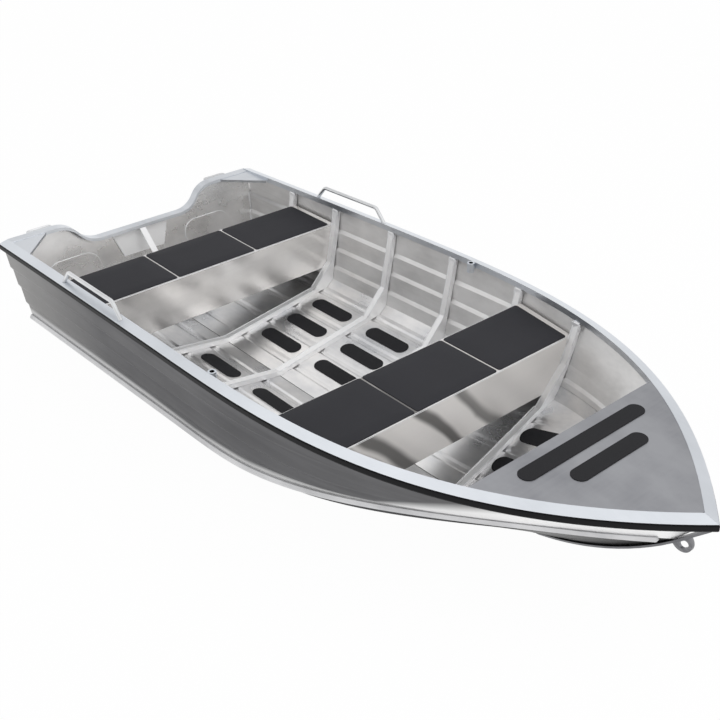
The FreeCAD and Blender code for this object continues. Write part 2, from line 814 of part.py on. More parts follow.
def rib_ring(station):
    outer, inner = rib_outline(station)
    right = [point(station, y, z) for y, z in outer + inner]
    left = mirrored(right[::-1], STARBOARD)
    return right + left[1:-1]


def rib(aft, fore):
    """A frame across the floor and up both sides, with a slanting knee at each chine."""
    return outward(loft([rib_ring(aft), rib_ring(fore)], True))


# Thwarts


def thwart_end(station, height):
    """Half breadth of a thwart's end, clear of the side."""
    corners = rib_side_line(station)
    return interpolate_side(corners, height) - size("thwart_end_gap")


def thwart(start, long, top):
    foot = top - size("thwart_depth")
    outlines = []
    for station in (start, start + long):
        high = thwart_end(station, top)
        low = thwart_end(station, foot)
        outlines.append([point(station, -high, top), point(station, -low, foot),
                         point(station, low, foot), point(station, high, top)])
    return outward(loft(outlines, True))


def thwart_pads(name, start, long, top):
    """Three pads with rounded corners on a thwart, the outer ones cut to the side's angle."""
    rim = size("thwart_rim")
    aft = start + rim
    fore = start + long - rim
    half = size("centre_pad_half")
    seam = half + size("pad_gap")
    high = top + fit_gap
    ends = [thwart_end(station, top) - size("pad_end_rim") for station in (aft, fore)]
    quads = {
        "centre": [(aft, -half), (fore, -half), (fore, half), (aft, half)],
        "port": [(aft, seam), (fore, seam), (fore, ends[1]), (aft, ends[0])],
        "starboard": [(aft, -ends[0]), (fore, -ends[1]), (fore, -seam), (aft, -seam)],
    }
    for where, quad in quads.items():
        base = Part.Face(closed_wire([point(x, y, high) for x, y in quad]))
        slab = base.extrude(Vector(0, 0, size("pad_thick") - fit_gap))
        upright = [edge for edge in slab.Edges if abs(edge.tangentAt(edge.FirstParameter).z) > 0.9]
        place_shape("%s_pad_%s" % (name, where), outward(slab.makeFillet(size("pad_corner"), upright)))


# Floor pads, in rows that run straight along the boat between the floor's grooves. The rows'
# middles are shares of the chine's half breadth at the transom. A pad's length is a share of the
# floor that is free between two ribs.

TREAD_SHARES = (0.266, 0.506, 0.747)
TREAD_LENGTH_SHARE = 0.711


def floor_skin():
    """A layer as thick as a pad that lies all over the floor's port half."""
    outlines = []
    for section in sections_between(0.0, 1.0, HULL_SECTIONS):
        foot = floor_line(section, plate + fit_gap)
        top = floor_line(section, plate + fit_gap + size("tread_thick"))
        outlines.append([point(section_station(section, z), y, z) for y, z in foot + top[::-1]])
    return outward(loft(outlines))


def stadium(station, middle, long, wide, low, high):
    """An upright prism with half round ends, its length along the boat."""
    radius = wide / 2
    run = long / 2 - radius
    a = point(station - run, middle - radius, low)
    b = point(station + run, middle - radius, low)
    c = point(station + long / 2, middle, low)
    d = point(station + run, middle + radius, low)
    e = point(station - run, middle + radius, low)
    f = point(station - long / 2, middle, low)
    edges = [Part.makeLine(a, b), Part.Arc(b, c, d).toShape(), Part.makeLine(d, e), Part.Arc(e, f, a).toShape()]
    return Part.Face(Part.Wire(edges)).extrude(Vector(0, 0, high - low))


def floor_pads(skin, station, long, rows):
    """Pads on each side of the keel in some of the rows, cut from a layer on the floor."""
    solids = []
    for share in TREAD_SHARES[:rows]:
        prism = stadium(station, chine_half_beam * share, long, size("tread_width"),
                        -size("keel_depth"), size("sheer_aft"))
        pad = outward(skin.common(prism))
        solids += [pad, outward(pad.mirror(Vector(0, 0, 0), Vector(0, 1, 0)))]
    return Part.makeCompound(solids)


# Deck


def deck_breadth(station):
    return rail_breadth(station, size("rail_width")) - fit_gap


def deck_height(station):
    return sheer(station) + size("rail_rise") - 1


def bow_deck():
    start = deck_start
    thick = size("deck_plate")
    last = solve(lambda x: deck_breadth(x) - 6, start, hull_length)
    outlines = []
    count = 10
    for k in range(count + 1):
        station = start + (last - start) * k / count
        wide = deck_breadth(station)
        top = deck_height(station)
        outlines.append([point(station, -wide, top), point(station, -wide, top - thick),
                         point(station, wide, top - thick), point(station, wide, top)])
    deck = outward(loft(outlines))
    wide = deck_breadth(start + thick) - size("rail_wall") * 2
    top = deck_height(start) - thick / 2
    fold = Part.makeBox(thick, 2 * wide, size("deck_flange"), point(start, -wide, top - size("deck_flange")))
    return outward(deck.fuse(fold).removeSplitter())


def deck_pad(station, long):
    """A pad across the deck with half round ends."""
    wide = size("deck_pad_width")
    thick = size("tread_thick")
    outlines = []
    count = 3
    for k in range(count + 1):
        here = station + 1.2 * wide * (k / count - 0.5)
        low = deck_height(here) + fit_gap
        outlines.append([point(here, -long, low + thick), point(here, -long, low),
                         point(here, long, low), point(here, long, low + thick)])
    slab = outward(loft(outlines))
    radius = wide / 2
    run = long / 2 - radius
    base = deck_height(station) - wide
    a = point(station - radius, -run, base)
    b = point(station, -long / 2, base)
    c = point(station + radius, -run, base)
    d = point(station + radius, run, base)
    e = point(station, long / 2, base)
    f = point(station - radius, run, base)
    edges = [Part.Arc(a, b, c).toShape(), Part.makeLine(c, d), Part.Arc(d, e, f).toShape(), Part.makeLine(f, a)]
    prism = Part.Face(Part.Wire(edges)).extrude(Vector(0, 0, 2 * wide))
    return outward(slab.common(prism))


# Tubes


def bent_tube(corners, radius, diameter):
    """A round tube along straight runs, with an arc of one radius at each corner."""
    edges = []
    start = corners[0]
    for before, corner, after in zip(corners, corners[1:], corners[2:]):
        back = (before - corner).normalize()
        ahead = (after - corner).normalize()
        half = back.getAngle(ahead) / 2
        run = radius / math.tan(half)
        first = corner + back * run
        last = corner + ahead * run
        bisector = (back + ahead).normalize()
        middle = corner + bisector * (radius / math.sin(half) - radius)
        edges += [Part.makeLine(start, first), Part.Arc(first, middle, last).toShape()]
        start = last
    edges.append(Part.makeLine(start, corners[-1]))
    spine = Part.Wire(edges)
    ring = Part.Wire(Part.makeCircle(diameter / 2, corners[0], corners[1] - corners[0]))
    return outward(spine.makePipeShell([ring], True, True))


def rail_block(first, last, side):
    """The space under the gunwale's top, for cutting what stands on it."""
    wide = size("rail_width")
    outlines = []
    count = 8
    for k in range(count + 1):
        station = first + (last - first) * k / count
        outline = []
        for inset, drop in ((-wide, 0), (2 * wide, 0), (2 * wide, wide), (-wide, wide)):
            height = rail_top(station, inset) + fit_gap - drop
            outline.append(point(station, rail_breadth(station, inset), height))
        outlines.append(mirrored(outline, side))
    return outward(loft(outlines, True))


def side_handle(side):
    """A tube bent into a grip over the gunwale, with leaning legs."""
    start = size("handle_start")
    lean = size("handle_slope")
    end = start + size("handle_length")
    inset = size("handle_inset")
    deep = size("handle_tube")
    corners = []
    for station, up in ((start, 0), (start + lean, 1), (end - lean, 1), (end, 0)):
        height = sheer(station) + size("handle_height") if up else rail_top(station, inset)
        corners.append(point(station, rail_breadth(station, inset) * side, height))
    corners[0] += (corners[0] - corners[1]).normalize() * deep
    corners[-1] += (corners[-1] - corners[-2]).normalize() * deep
    tube = bent_tube(corners, size("handle_bend"), size("handle_tube"))
    return outward(tube.cut(rail_block(start - 3 * deep, end + 3 * deep, side)))


def transom_handle(side):
    """A small bent rod that stands aft of the transom's cap, to lift by."""
    level = CAP_LEVEL - size("loop_drop")
    wide = size("loop_tube")
    face = -CAP_OVERHANG - fit_gap
    root = transom_station(level) + face
    tip = root - size("loop_reach")
    middle = transom_half_beam - size("loop_inset")
    inner = (middle - size("loop_span") / 2) * side
    outer = (middle + size("loop_span") / 2) * side
    corners = [point(root + wide, inner, level), point(tip, inner, level),
               point(tip, outer, level), point(root + wide, outer, level)]
    rod = bent_tube(corners, wide * 1.3, wide)
    behind = [(-CAP_LEVEL, 0), (face, 0), (face, CAP_LEVEL * 2), (-CAP_LEVEL, CAP_LEVEL * 2)]
    outline = [point(transom_station(z) + along, -2 * CAP_LEVEL, z) for along, z in behind]
    space = Part.Face(closed_wire(outline)).extrude(Vector(0, 4 * CAP_LEVEL, 0))
    return outward(rod.common(space))


# Plates at the stern


def corner_plate(side):
    """A three-cornered plate between transom and gunwale, folded down along its long edge."""
    leg = size("gusset_leg")
    wall = plate
    inner = size("rail_width")
    top = rail_top(0.0, inner) - size("gusset_drop")
    aft = transom_station(top - wall) + size("cap_width") - CAP_OVERHANG + fit_gap
    side_at = rail_breadth(aft, inner) - fit_gap
    side_far = rail_breadth(aft + leg, inner) - fit_gap
    corners = [point(aft, side_at, top), point(aft, side_at - leg, top), point(aft + leg, side_far, top)]
    sheet_face = Part.Face(closed_wire(mirrored(corners, side)))
    plate_part = sheet_face.extrude(Vector(0, 0, -wall))
    edge = (corners[2] - corners[1]).normalize()
    back = Vector(edge.y, -edge.x, 0) * wall
    fold = [corners[1] + edge * wall * 2, corners[2] - edge * wall * 4,
            corners[2] - edge * wall * 4 - back, corners[1] + edge * wall * 2 - back]
    fold_face = Part.Face(closed_wire(mirrored(fold, side)))
    plate_part = plate_part.fuse(fold_face.extrude(Vector(0, 0, -size("gusset_flange"))))
    return outward(plate_part.removeSplitter())


def bind(thing, **expressions):
    """Tie properties of an object to the sheet."""
    for name, text in expressions.items():
        thing.setExpression(name.replace("_", "."), text)


def sketch_on(body, role, name):
    """An empty sketch on one of a body's own planes."""
    plane = [item for item in body.Origin.OriginFeatures if item.Role == role][0]
    sketch = body.newObject("Sketcher::SketchObject", name)
    sketch.AttachmentSupport = (plane, [""])
    sketch.MapMode = "FlatFace"
    return sketch


WORKED_OUT = []


def sheet_value(name, value, meaning):
    """Add a worked-out place to the sheet, so that expressions can read it."""
    row = len(SIZES) + len(WORKED_OUT) + 2
    WORKED_OUT.append(name)
    sheet.set("A%d" % row, name)
    sheet.set("B%d" % row, str(value))
    sheet.set("C%d" % row, meaning)
    sheet.setAlias("B%d" % row, name)


def motor_pad():
    """A tapered board on the transom's inner face, for a motor's clamps."""
    body = doc.addObject("PartDesign::Body", "motor_pad")
    sketch = sketch_on(body, "XY_Plane", "motor_pad_outline")
    top = size("motor_pad_top_half")
    foot = size("motor_pad_foot_half")
    tall = size("motor_pad_height")
    corners = [Vector(-top, 0, 0), Vector(top, 0, 0), Vector(foot, -tall, 0), Vector(-foot, -tall, 0)]
    for k in range(4):
        sketch.addGeometry(Part.LineSegment(corners[k], corners[(k + 1) % 4]), False)
    for k in range(4):
        sketch.addConstraint(Sketcher.Constraint("Coincident", k, 2, (k + 1) % 4, 1))
    sketch.addConstraint(Sketcher.Constraint("Symmetric", 0, 1, 0, 2, -2))
    sketch.addConstraint(Sketcher.Constraint("Symmetric", 2, 2, 2, 1, -2))
    sketch.addConstraint(Sketcher.Constraint("PointOnObject", 0, 1, -1))
    wide_top = sketch.addConstraint(Sketcher.Constraint("DistanceX", 0, 1, 0, 2, 2 * top))
    wide_foot = sketch.addConstraint(Sketcher.Constraint("DistanceX", 2, 2, 2, 1, 2 * foot))
    deep = sketch.addConstraint(Sketcher.Constraint("DistanceY", 1, 2, 1, 1, tall))
    sketch.setExpression("Constraints[%d]" % wide_top, "sizes.motor_pad_top_half * 2")
    sketch.setExpression("Constraints[%d]" % wide_foot, "sizes.motor_pad_foot_half * 2")
    sketch.setExpression("Constraints[%d]" % deep, "sizes.motor_pad_height")
    pad = body.newObject("PartDesign::Pad", "motor_pad_board")
    pad.Profile = sketch
    pad.setExpression("Length", "sizes.motor_pad_thick")
    slant = math.radians(size("transom_rake"))
    lean = (size("transom_plate") + fit_gap) / math.cos(slant)
    base = point(transom_station(CUT_LIP_FOOT) + lean, 0, CUT_LIP_FOOT)
    upright = FreeCAD.Matrix(0, math.sin(slant) * -1, math.cos(slant), base.x,
                             1, 0, 0, base.y,
                             0, math.cos(slant), math.sin(slant), base.z,
                             0, 0, 0, 1)
    body.Placement = FreeCAD.Placement(upright)
    return keep(body, "motor_pad")


def bow_eye():
    """A plate with a long hole on the front of the stem, for the painter."""
    radius = size("eye_diameter") / 2
    offset = size("eye_offset")
    chord = math.sqrt(radius ** 2 - offset ** 2)
    hole = size("eye_hole_width") / 2
    run = size("eye_hole_length") / 2 - hole
    out_by = size("eye_hole_out")
    body = doc.addObject("PartDesign::Body", "bow_eye")
    sketch = sketch_on(body, "XY_Plane", "bow_eye_outline")
    sweep = math.atan2(chord, -offset)
    circle = Part.Circle(Vector(0, 0, 0), Vector(0, 0, 1), radius)
    sketch.addGeometry(Part.ArcOfCircle(circle, -sweep, sweep), False)
    sketch.addGeometry(Part.LineSegment(Vector(-offset, chord, 0), Vector(-offset, -chord, 0)), False)
    upper = Part.Circle(Vector(out_by, run, 0), Vector(0, 0, 1), hole)
    lower = Part.Circle(Vector(out_by, -run, 0), Vector(0, 0, 1), hole)
    sketch.addGeometry(Part.ArcOfCircle(upper, 0, math.pi), False)
    sketch.addGeometry(Part.ArcOfCircle(lower, math.pi, 2 * math.pi), False)
    for x, start, end in ((out_by + hole, -run, run), (out_by - hole, run, -run)):
        sketch.addGeometry(Part.LineSegment(Vector(x, start, 0), Vector(x, end, 0)), False)
    sketch.addConstraint(Sketcher.Constraint("Coincident", 0, 3, -1, 1))
    sketch.addConstraint(Sketcher.Constraint("Coincident", 0, 2, 1, 1))
    sketch.addConstraint(Sketcher.Constraint("Coincident", 1, 2, 0, 1))
    sketch.addConstraint(Sketcher.Constraint("Vertical", 1))
    outer = sketch.addConstraint(Sketcher.Constraint("Radius", 0, radius))
    root = sketch.addConstraint(Sketcher.Constraint("DistanceX", 1, 1, -1, 1, offset))
    for line_end in ((2, 1, 4, 2), (2, 2, 5, 1), (3, 2, 4, 1), (3, 1, 5, 2)):
        sketch.addConstraint(Sketcher.Constraint("Tangent", *line_end))
    sketch.addConstraint(Sketcher.Constraint("Vertical", 4))
    sketch.addConstraint(Sketcher.Constraint("Vertical", 5))
    below = sketch.addConstraint(Sketcher.Constraint("DistanceY", 3, 3, -1, 1, run))
    ahead = sketch.addConstraint(Sketcher.Constraint("DistanceX", -1, 1, 2, 3, out_by))
    narrow = sketch.addConstraint(Sketcher.Constraint("Radius", 2, hole))
    long = sketch.addConstraint(Sketcher.Constraint("DistanceY", 3, 3, 2, 3, 2 * run))
    sketch.setExpression("Constraints[%d]" % outer, "sizes.eye_diameter / 2")
    sketch.setExpression("Constraints[%d]" % root, "sizes.eye_offset")
    sketch.setExpression("Constraints[%d]" % ahead, "sizes.eye_hole_out")
    sketch.setExpression("Constraints[%d]" % below, "(sizes.eye_hole_length - sizes.eye_hole_width) / 2")
    sketch.setExpression("Constraints[%d]" % narrow, "sizes.eye_hole_width / 2")
    sketch.setExpression("Constraints[%d]" % long, "sizes.eye_hole_length - sizes.eye_hole_width")
    pad = body.newObject("PartDesign::Pad", "bow_eye_plate")
    pad.Profile = sketch
    pad.Midplane = True
    pad.setExpression("Length", "sizes.eye_thick")
    centre, out, along = stem_place(size("eye_level"), offset + size("keel_bar") + 2 * fit_gap)
    across = out.cross(along)
    turned = FreeCAD.Matrix(out.x, along.x, across.x, centre.x,
                            out.y, along.y, across.y, centre.y,
                            out.z, along.z, across.z, centre.z,
                            0, 0, 0, 1)
    body.Placement = FreeCAD.Placement(turned)
    return keep(body, "bow_eye")


def stem_place(height, away):
    """A point at a height and a distance off the stem, and the directions out and up the stem."""
    foot = point(chine_last, 0, chine_height(chine_last))
    head = point(top_last, 0, plate_top(top_last) - size("rail_depth"))
    along = (head - foot).normalize()
    out = Vector(along.z, 0, -along.x)
    base = foot + along * ((height - out.z * away - foot.z) / along.z)
    return base + out * away, out, along


def rowlock_socket(word, side):
    """A short tube under the gunwale's inner edge, bored for the rowlock's pin."""
    tube = doc.addObject("Part::Cylinder", "socket_tube_" + word)
    bind(tube, Radius="sizes.socket_diameter / 2", Height="sizes.socket_length")
    bore = doc.addObject("Part::Cylinder", "socket_bore_" + word)
    bind(bore, Radius="sizes.socket_bore / 2", Height="sizes.socket_length")
    socket = doc.addObject("Part::Cut", "rowlock_socket_" + word)
    socket.Base = tube
    socket.Tool = bore
    bind(socket, Placement_Base_x="sizes.socket_station - sizes.hull_length / 2",
         Placement_Base_y="sizes.socket_breadth * %d" % side, Placement_Base_z="sizes.socket_foot")
    return keep(socket, "rowlock_socket_" + word)


def transom_brace(landing):
    """A flat bar from the cap's inner lip forward and down to the top of a rib."""
    half = size("brace_width") / 2
    low = floor_height(landing, half) + size("rib_depth") + 2 * fit_gap
    start = transom_station(CUT_LIP_FOOT) + size("cap_width") - CAP_OVERHANG
    slope = math.atan2(CUT_LIP_FOOT - low, landing - start)
    run = size("brace_thick") / math.sin(slope)
    outline = [point(start - run, -half, CUT_LIP_FOOT), point(landing - run, -half, low),
               point(landing, -half, low), point(start, -half, CUT_LIP_FOOT)]
    return outward(Part.Face(closed_wire(outline)).extrude(Vector(0, 2 * half, 0)))


# Build the boat

for word, side in SIDES:
    place_shape("side_plate_" + word, side_plate(side))
    place_shape("bottom_plate_" + word, bottom_plate(side))
    place_shape("gunwale_" + word, gunwale(side))
    place_shape("rubbing_strip_" + word, rubbing_strip(side))
    place_shape("chine_strake_" + word, chine_strake(side))
place_shape("keel_bar", keel_bar())
place_shape("transom_panel", transom_panel())
place_shape("transom_cap", transom_cap())

aft_start = size("aft_thwart_start")
aft_end = aft_start + size("aft_thwart_length")
fore_start = fore_thwart_start
fore_end = fore_start + size("fore_thwart_length")
rib_width = size("rib_width")
rib_after_aft = aft_end + fit_gap
rib_before_fore = fore_start - fit_gap - rib_width
rib_step = (rib_before_fore - rib_after_aft) / 3
rib_starts = [aft_start - fit_gap - rib_width, rib_after_aft, rib_after_aft + rib_step,
              rib_after_aft + 2 * rib_step, rib_before_fore, fore_end + fit_gap]
for number, start in enumerate(rib_starts, start=1):
    place_shape("rib_%d" % number, rib(start, start + rib_width))

place_shape("aft_thwart", thwart(aft_start, size("aft_thwart_length"), size("aft_thwart_top")))
place_shape("fore_thwart", thwart(fore_start, size("fore_thwart_length"), size("fore_thwart_top")))
thwart_pads("aft_thwart", aft_start, size("aft_thwart_length"), size("aft_thwart_top"))
thwart_pads("fore_thwart", fore_start, size("fore_thwart_length"), size("fore_thwart_top"))

skin = floor_skin()
pad_length = (rib_step - rib_width) * TREAD_LENGTH_SHARE
for number, (before, after) in enumerate(zip(rib_starts[1:4], rib_starts[2:5]), start=1):
    middle = (before + rib_width + after) / 2
    place_shape("floor_pads_%d" % number, floor_pads(skin, middle, pad_length, 3))
bow_middle = rib_starts[-1] + rib_width + size("last_pads_ahead") + pad_length / 2
place_shape("floor_pads_4", floor_pads(skin, bow_middle, pad_length, 2))

place_shape("bow_deck", bow_deck())
long_pad_station = deck_start + size("long_pad_ahead")
place_shape("deck_pad_long", deck_pad(long_pad_station, size("long_pad_length")))
place_shape("deck_pad_short", deck_pad(long_pad_station + size("deck_pad_pitch"), size("short_pad_length")))

inner_lip = rail_breadth(rowlock_station, size("rail_width"))
sheet_value("socket_station", rowlock_station, "station of the rowlock sockets")
sheet_value("socket_breadth", inner_lip - size("socket_diameter") / 2 - fit_gap,
            "centreline to a rowlock socket")
sheet_value("socket_foot", rail_top(rowlock_station, size("rail_width")) - size("socket_length"),
            "height of a rowlock socket's lower end")
for word, side in SIDES:
    rowlock_socket(word, side)
    place_shape("side_handle_" + word, side_handle(side))
    place_shape("transom_handle_" + word, transom_handle(side))
    place_shape("corner_plate_" + word, corner_plate(side))
motor_pad()
place_shape("transom_brace", transom_brace(rib_starts[0] + rib_width * 0.6))
bow_eye()

doc.recompute()

for thing in doc.Objects:
    if "Invalid" in thing.State or "Error" in thing.State:
        raise RuntimeError("%s failed: %s" % (thing.Label, thing.State))
bad = [thing.Label for thing in NODES if thing.Shape.isNull() or not thing.Shape.isValid()]
if bad:
    raise RuntimeError("bad shapes: " + ", ".join(bad))

os.makedirs("parts", exist_ok=True)
for thing in NODES:
    thing.Shape.exportStep("parts/%s.step" % thing.Label)
    print(thing.Label, len(thing.Shape.Solids), round(thing.Shape.Volume / 1000), "cm3")
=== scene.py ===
import json
import math
import bpy
import numpy as np
from mathutils import Matrix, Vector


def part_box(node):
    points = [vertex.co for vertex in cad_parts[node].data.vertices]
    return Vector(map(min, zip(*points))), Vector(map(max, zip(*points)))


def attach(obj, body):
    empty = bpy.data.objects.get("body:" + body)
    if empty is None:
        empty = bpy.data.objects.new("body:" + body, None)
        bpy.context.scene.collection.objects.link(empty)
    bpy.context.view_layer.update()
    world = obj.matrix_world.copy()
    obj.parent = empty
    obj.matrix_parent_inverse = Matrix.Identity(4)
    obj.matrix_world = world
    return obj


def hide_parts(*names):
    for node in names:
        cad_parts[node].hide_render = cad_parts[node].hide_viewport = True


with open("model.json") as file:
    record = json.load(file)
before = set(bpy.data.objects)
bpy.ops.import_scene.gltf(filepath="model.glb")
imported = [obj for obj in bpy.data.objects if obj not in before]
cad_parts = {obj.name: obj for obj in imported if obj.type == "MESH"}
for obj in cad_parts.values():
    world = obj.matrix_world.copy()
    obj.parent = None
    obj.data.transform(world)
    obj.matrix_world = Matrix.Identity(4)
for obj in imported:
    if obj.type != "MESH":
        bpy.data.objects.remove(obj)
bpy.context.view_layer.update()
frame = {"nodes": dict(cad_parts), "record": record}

# A welded aluminium rowing boat: finishes for the plates, rails and pads, and the small things
# that dress them. X points to the bow, Y to port and Z up, in metres, from the waterline amidships.

NODES = frame["nodes"]
PORT_AND_STARBOARD = (1.0, -1.0)


# Meshes from arrays


def vertices_of(node):
    """The corners of a CAD node as an array, one row each."""
    mesh = NODES[node].data
    flat = np.empty(len(mesh.vertices) * 3)
    mesh.vertices.foreach_get("co", flat)
    return flat.reshape(-1, 3)


def triangles_of(node):
    """The corner numbers of a CAD node's triangles."""
    mesh = NODES[node].data
    flat = np.empty(len(mesh.polygons) * 3, dtype=np.int64)
    mesh.polygons.foreach_get("vertices", flat)
    return flat.reshape(-1, 3)


def by_station(points, reach):
    """The stations along the boat that some points have, and for each the points within a reach."""
    stations = np.unique(np.round(points[:, 0], 3))
    return stations, [points[np.abs(points[:, 0] - station) < reach] for station in stations]


def grid_faces(rows, columns):
    """Four corner numbers for each cell of a grid whose last column is joined to its first."""
    row, column = np.meshgrid(np.arange(rows - 1), np.arange(columns), indexing="ij")
    after = (column + 1) % columns
    cells = np.stack([row * columns + column, row * columns + after,
                      (row + 1) * columns + after, (row + 1) * columns + column], axis=-1)
    return cells.reshape(-1, 4)


def join_grids(grids):
    """Several grids, each rows by columns by 3, as one array of points and one list of faces."""
    points = []
    faces = []
    start = 0
    for grid in grids:
        rows, columns, _ = grid.shape
        points.append(grid.reshape(-1, 3))
        faces.append(grid_faces(rows, columns) + start)
        start += rows * columns
    return np.concatenate(points), np.concatenate(faces).tolist()


def make_piece(name, points, faces, material):
    """A new smooth object of the boat, riding on its one body."""
    mesh = bpy.data.meshes.new(name)
    mesh.from_pydata(points.tolist(), [], faces)
    mesh.validate()
    mesh.update()
    mesh.polygons.foreach_set("use_smooth", np.ones(len(mesh.polygons), dtype=bool))
    piece = bpy.data.objects.new(name, mesh)
    bpy.context.scene.collection.objects.link(piece)
    mesh.materials.append(material)
    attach(piece, "root")
    return piece


# Shader nodes

WHITE = (1.0, 1.0, 1.0)


def new_material(name):
    """A material, its node tree and its main shader."""
    material = bpy.data.materials.new(name)
    material.use_nodes = True
    tree = material.node_tree
    return material, tree, tree.nodes["Principled BSDF"]


def add_node(tree, kind, **values):
    """A shader node with its settings, which are properties or named inputs."""
    node = tree.nodes.new(kind)
    for name, value in values.items():
        if hasattr(node, name):
            setattr(node, name, value)
        else:
            node.inputs[name.replace("_", " ")].default_value = value
    return node


def noise_on_object(tree, scale, detail, roughness, stretch=(1.0, 1.0, 1.0), seed=(0.0, 0.0, 0.0)):
    """Noise over the boat's own coordinates, drawn out along the axes whose stretch is small."""
    place = add_node(tree, "ShaderNodeTexCoord")
    mapping = add_node(tree, "ShaderNodeMapping", Scale=stretch, Location=seed)
    noise = add_node(tree, "ShaderNodeTexNoise", Scale=scale, Detail=detail, Roughness=roughness)
    tree.links.new(place.outputs["Object"], mapping.inputs["Vector"])
    tree.links.new(mapping.outputs["Vector"], noise.inputs["Vector"])
    return noise.outputs["Fac"]


def map_range(tree, source, span, target=(0.0, 1.0)):
    """The source carried from a span of values to a target's, and held past its ends."""
    node = add_node(tree, "ShaderNodeMapRange", From_Min=span[0], From_Max=span[1],
                    To_Min=target[0], To_Max=target[1])
    tree.links.new(source, node.inputs["Value"])
    return node.outputs["Result"]


def mix_colours(tree, share, first, second):
    """Two colours mixed by a share, each a colour or another node's output."""
    node = add_node(tree, "ShaderNodeMix", data_type="RGBA")
    tree.links.new(share, node.inputs[0])
    for socket, value in ((node.inputs[6], first), (node.inputs[7], second)):
        if isinstance(value, tuple):
            socket.default_value = (*value, 1.0)
        else:
            tree.links.new(value, socket)
    return node.outputs[2]


def combine(tree, operation, first, second=0.0):
    """One or two values, each a number or another node's output, through one math node."""
    node = add_node(tree, "ShaderNodeMath", operation=operation)
    for socket, value in zip(node.inputs, (first, second)):
        if isinstance(value, float):
            socket.default_value = value
        else:
            tree.links.new(value, socket)
    return node.outputs[0]


def tones_along(tree, source, span, stops, interpolation="LINEAR"):
    """Colours at places along a span of the source, with what lies between filled in."""
    ramp = add_node(tree, "ShaderNodeValToRGB")
    ramp.color_ramp.interpolation = interpolation
    elements = ramp.color_ramp.elements
    while len(elements) < len(stops):
        elements.new(0.5)
    for element, (place, colour) in zip(elements, stops):
        element.position = (place - span[0]) / (span[1] - span[0])
        element.color = (*colour, 1.0)
    tree.links.new(map_range(tree, source, span), ramp.inputs[0])
    return ramp.outputs[0]


def object_axis(tree, axis):
    """A coordinate of the boat's own frame."""
    place = add_node(tree, "ShaderNodeTexCoord")
    parts = add_node(tree, "ShaderNodeSeparateXYZ")
    tree.links.new(place.outputs["Object"], parts.inputs[0])
    return parts.outputs[axis]


def normal_axis(tree, axis):
    """How far the surface looks along an axis, which the boat shares with the world."""
    facing = add_node(tree, "ShaderNodeNewGeometry")
    parts = add_node(tree, "ShaderNodeSeparateXYZ")
    tree.links.new(facing.outputs["Normal"], parts.inputs[0])
    return parts.outputs[axis]


def add_bump(tree, shader, height, strength, distance):
    """Bumps of a height's pattern, with no change to the mesh."""
    bump = add_node(tree, "ShaderNodeBump", Strength=strength, Distance=distance)
    tree.links.new(height, bump.inputs["Height"])
    tree.links.new(bump.outputs["Normal"], shader.inputs["Normal"])


# Metals

# Sheet: spans of the noises' values, the most that a streak adds, and the ways a grain may run
MOST_NOISE = (0.3, 0.7)
CLOUD_TURN = (0.36, 0.62)
STREAK_SHARE = 0.3
GRAIN_ALONG = (0.02, 1.0, 1.0)
GRAIN_ACROSS = (1.0, 0.03, 1.0)
THWART_GRAIN = (1.0, 0.02, 1.0)

# The hull's outside, whose tones are a painted reflection of dark surroundings and painted shade:
# stations between which its tones turn, and the tones of its scuffs
HULL_SPAN = (-1.9, 1.9)
CHINE_STOPS = 10
STATION_REACH = 0.002
STERN_TO_MIDDLE = (-1.9, -0.9)
MIDDLE_TO_BOW = (0.95, 1.3)
SCUFF_TURN = (0.4, 0.7)
CLOUD_SCUFF, CLOUD_SCUFF_SHARE = (0.6, 0.6, 0.61), 0.06
STREAK_SCUFF, STREAK_SCUFF_SHARE = (0.62, 0.62, 0.63), 0.05

# The painted reflection band: a bright band painted over the chine where the flared plate mirrors
# the pale ground. Stations between which it grows and clears, and its depth at either end
BAND_GROWS, BAND_DEPTHS = (0.8, 1.25), (0.036, 0.14)
BAND_CLEARS, REFLECTION_SILVER = (0.6, 1.3), (0.62, 0.62, 0.62)
BAND_EDGE = (0.55, 1.1)

# Faces: how far a surface looks along an axis where it turns to an outer or an upright one, and
# the half breadth of the strip at the centreline where port turns to starboard
FACE_TURN = 0.02
CENTRE_TURN = 0.001
OUTWARD_TURN = (0.4, 0.6)
UPRIGHT_TURN = (0.5, 0.7)
RUBBER_BLACK = (0.005, 0.005, 0.006)
DULL_EDGE = (0.3, 0.3, 0.3)

# Thwarts, with painted reflection streaks and painted shade underneath, and rowlock bores with
# painted shade inside
THWART_SPAN = (-0.8, 0.8)
REFLECTION_STREAK_TINT = (1.0, 0.985, 0.97)
REFLECTION_STREAK_WAVER = 0.02
UNDERSIDE_SHADE_TURN = (-0.6, -0.4)
UNDERSIDE_SHADE_TONE = (0.25, 0.25, 0.25)
BORE_EDGE = (0.0103, 0.0106)
BORE_SHADE_TONE = (0.03, 0.03, 0.03)


def sheet_metal(name, light, dark, smooth, rough, grain=GRAIN_ALONG, ripple=0.0, cloud_scale=3.2,
                metallic=1.0):
    """Rolled aluminium: fine streaks of tone along the grain, broad clouds of tone and sheen, and
    a faint ripple."""
    material, tree, shader = new_material(name)
    shader.inputs["Metallic"].default_value = metallic
    streaks = noise_on_object(tree, scale=60.0, detail=2.0, roughness=0.5, stretch=grain)
    clouds = noise_on_object(tree, scale=cloud_scale, detail=4.0, roughness=0.6,
                             stretch=(0.8, 1.0, 1.6))
    broad = mix_colours(tree, map_range(tree, clouds, CLOUD_TURN), dark, light)
    fine = map_range(tree, streaks, MOST_NOISE, (0.0, STREAK_SHARE))
    tree.links.new(mix_colours(tree, fine, broad, light), shader.inputs["Base Color"])
    sheen = map_range(tree, clouds, MOST_NOISE, (smooth, rough))
    tree.links.new(sheen, shader.inputs["Roughness"])
    if ripple:
        waves = noise_on_object(tree, scale=5.0, detail=1.0, roughness=0.4, seed=(3.1, 0.7, 1.9))
        add_bump(tree, shader, waves, strength=1.0, distance=ripple)
    return material


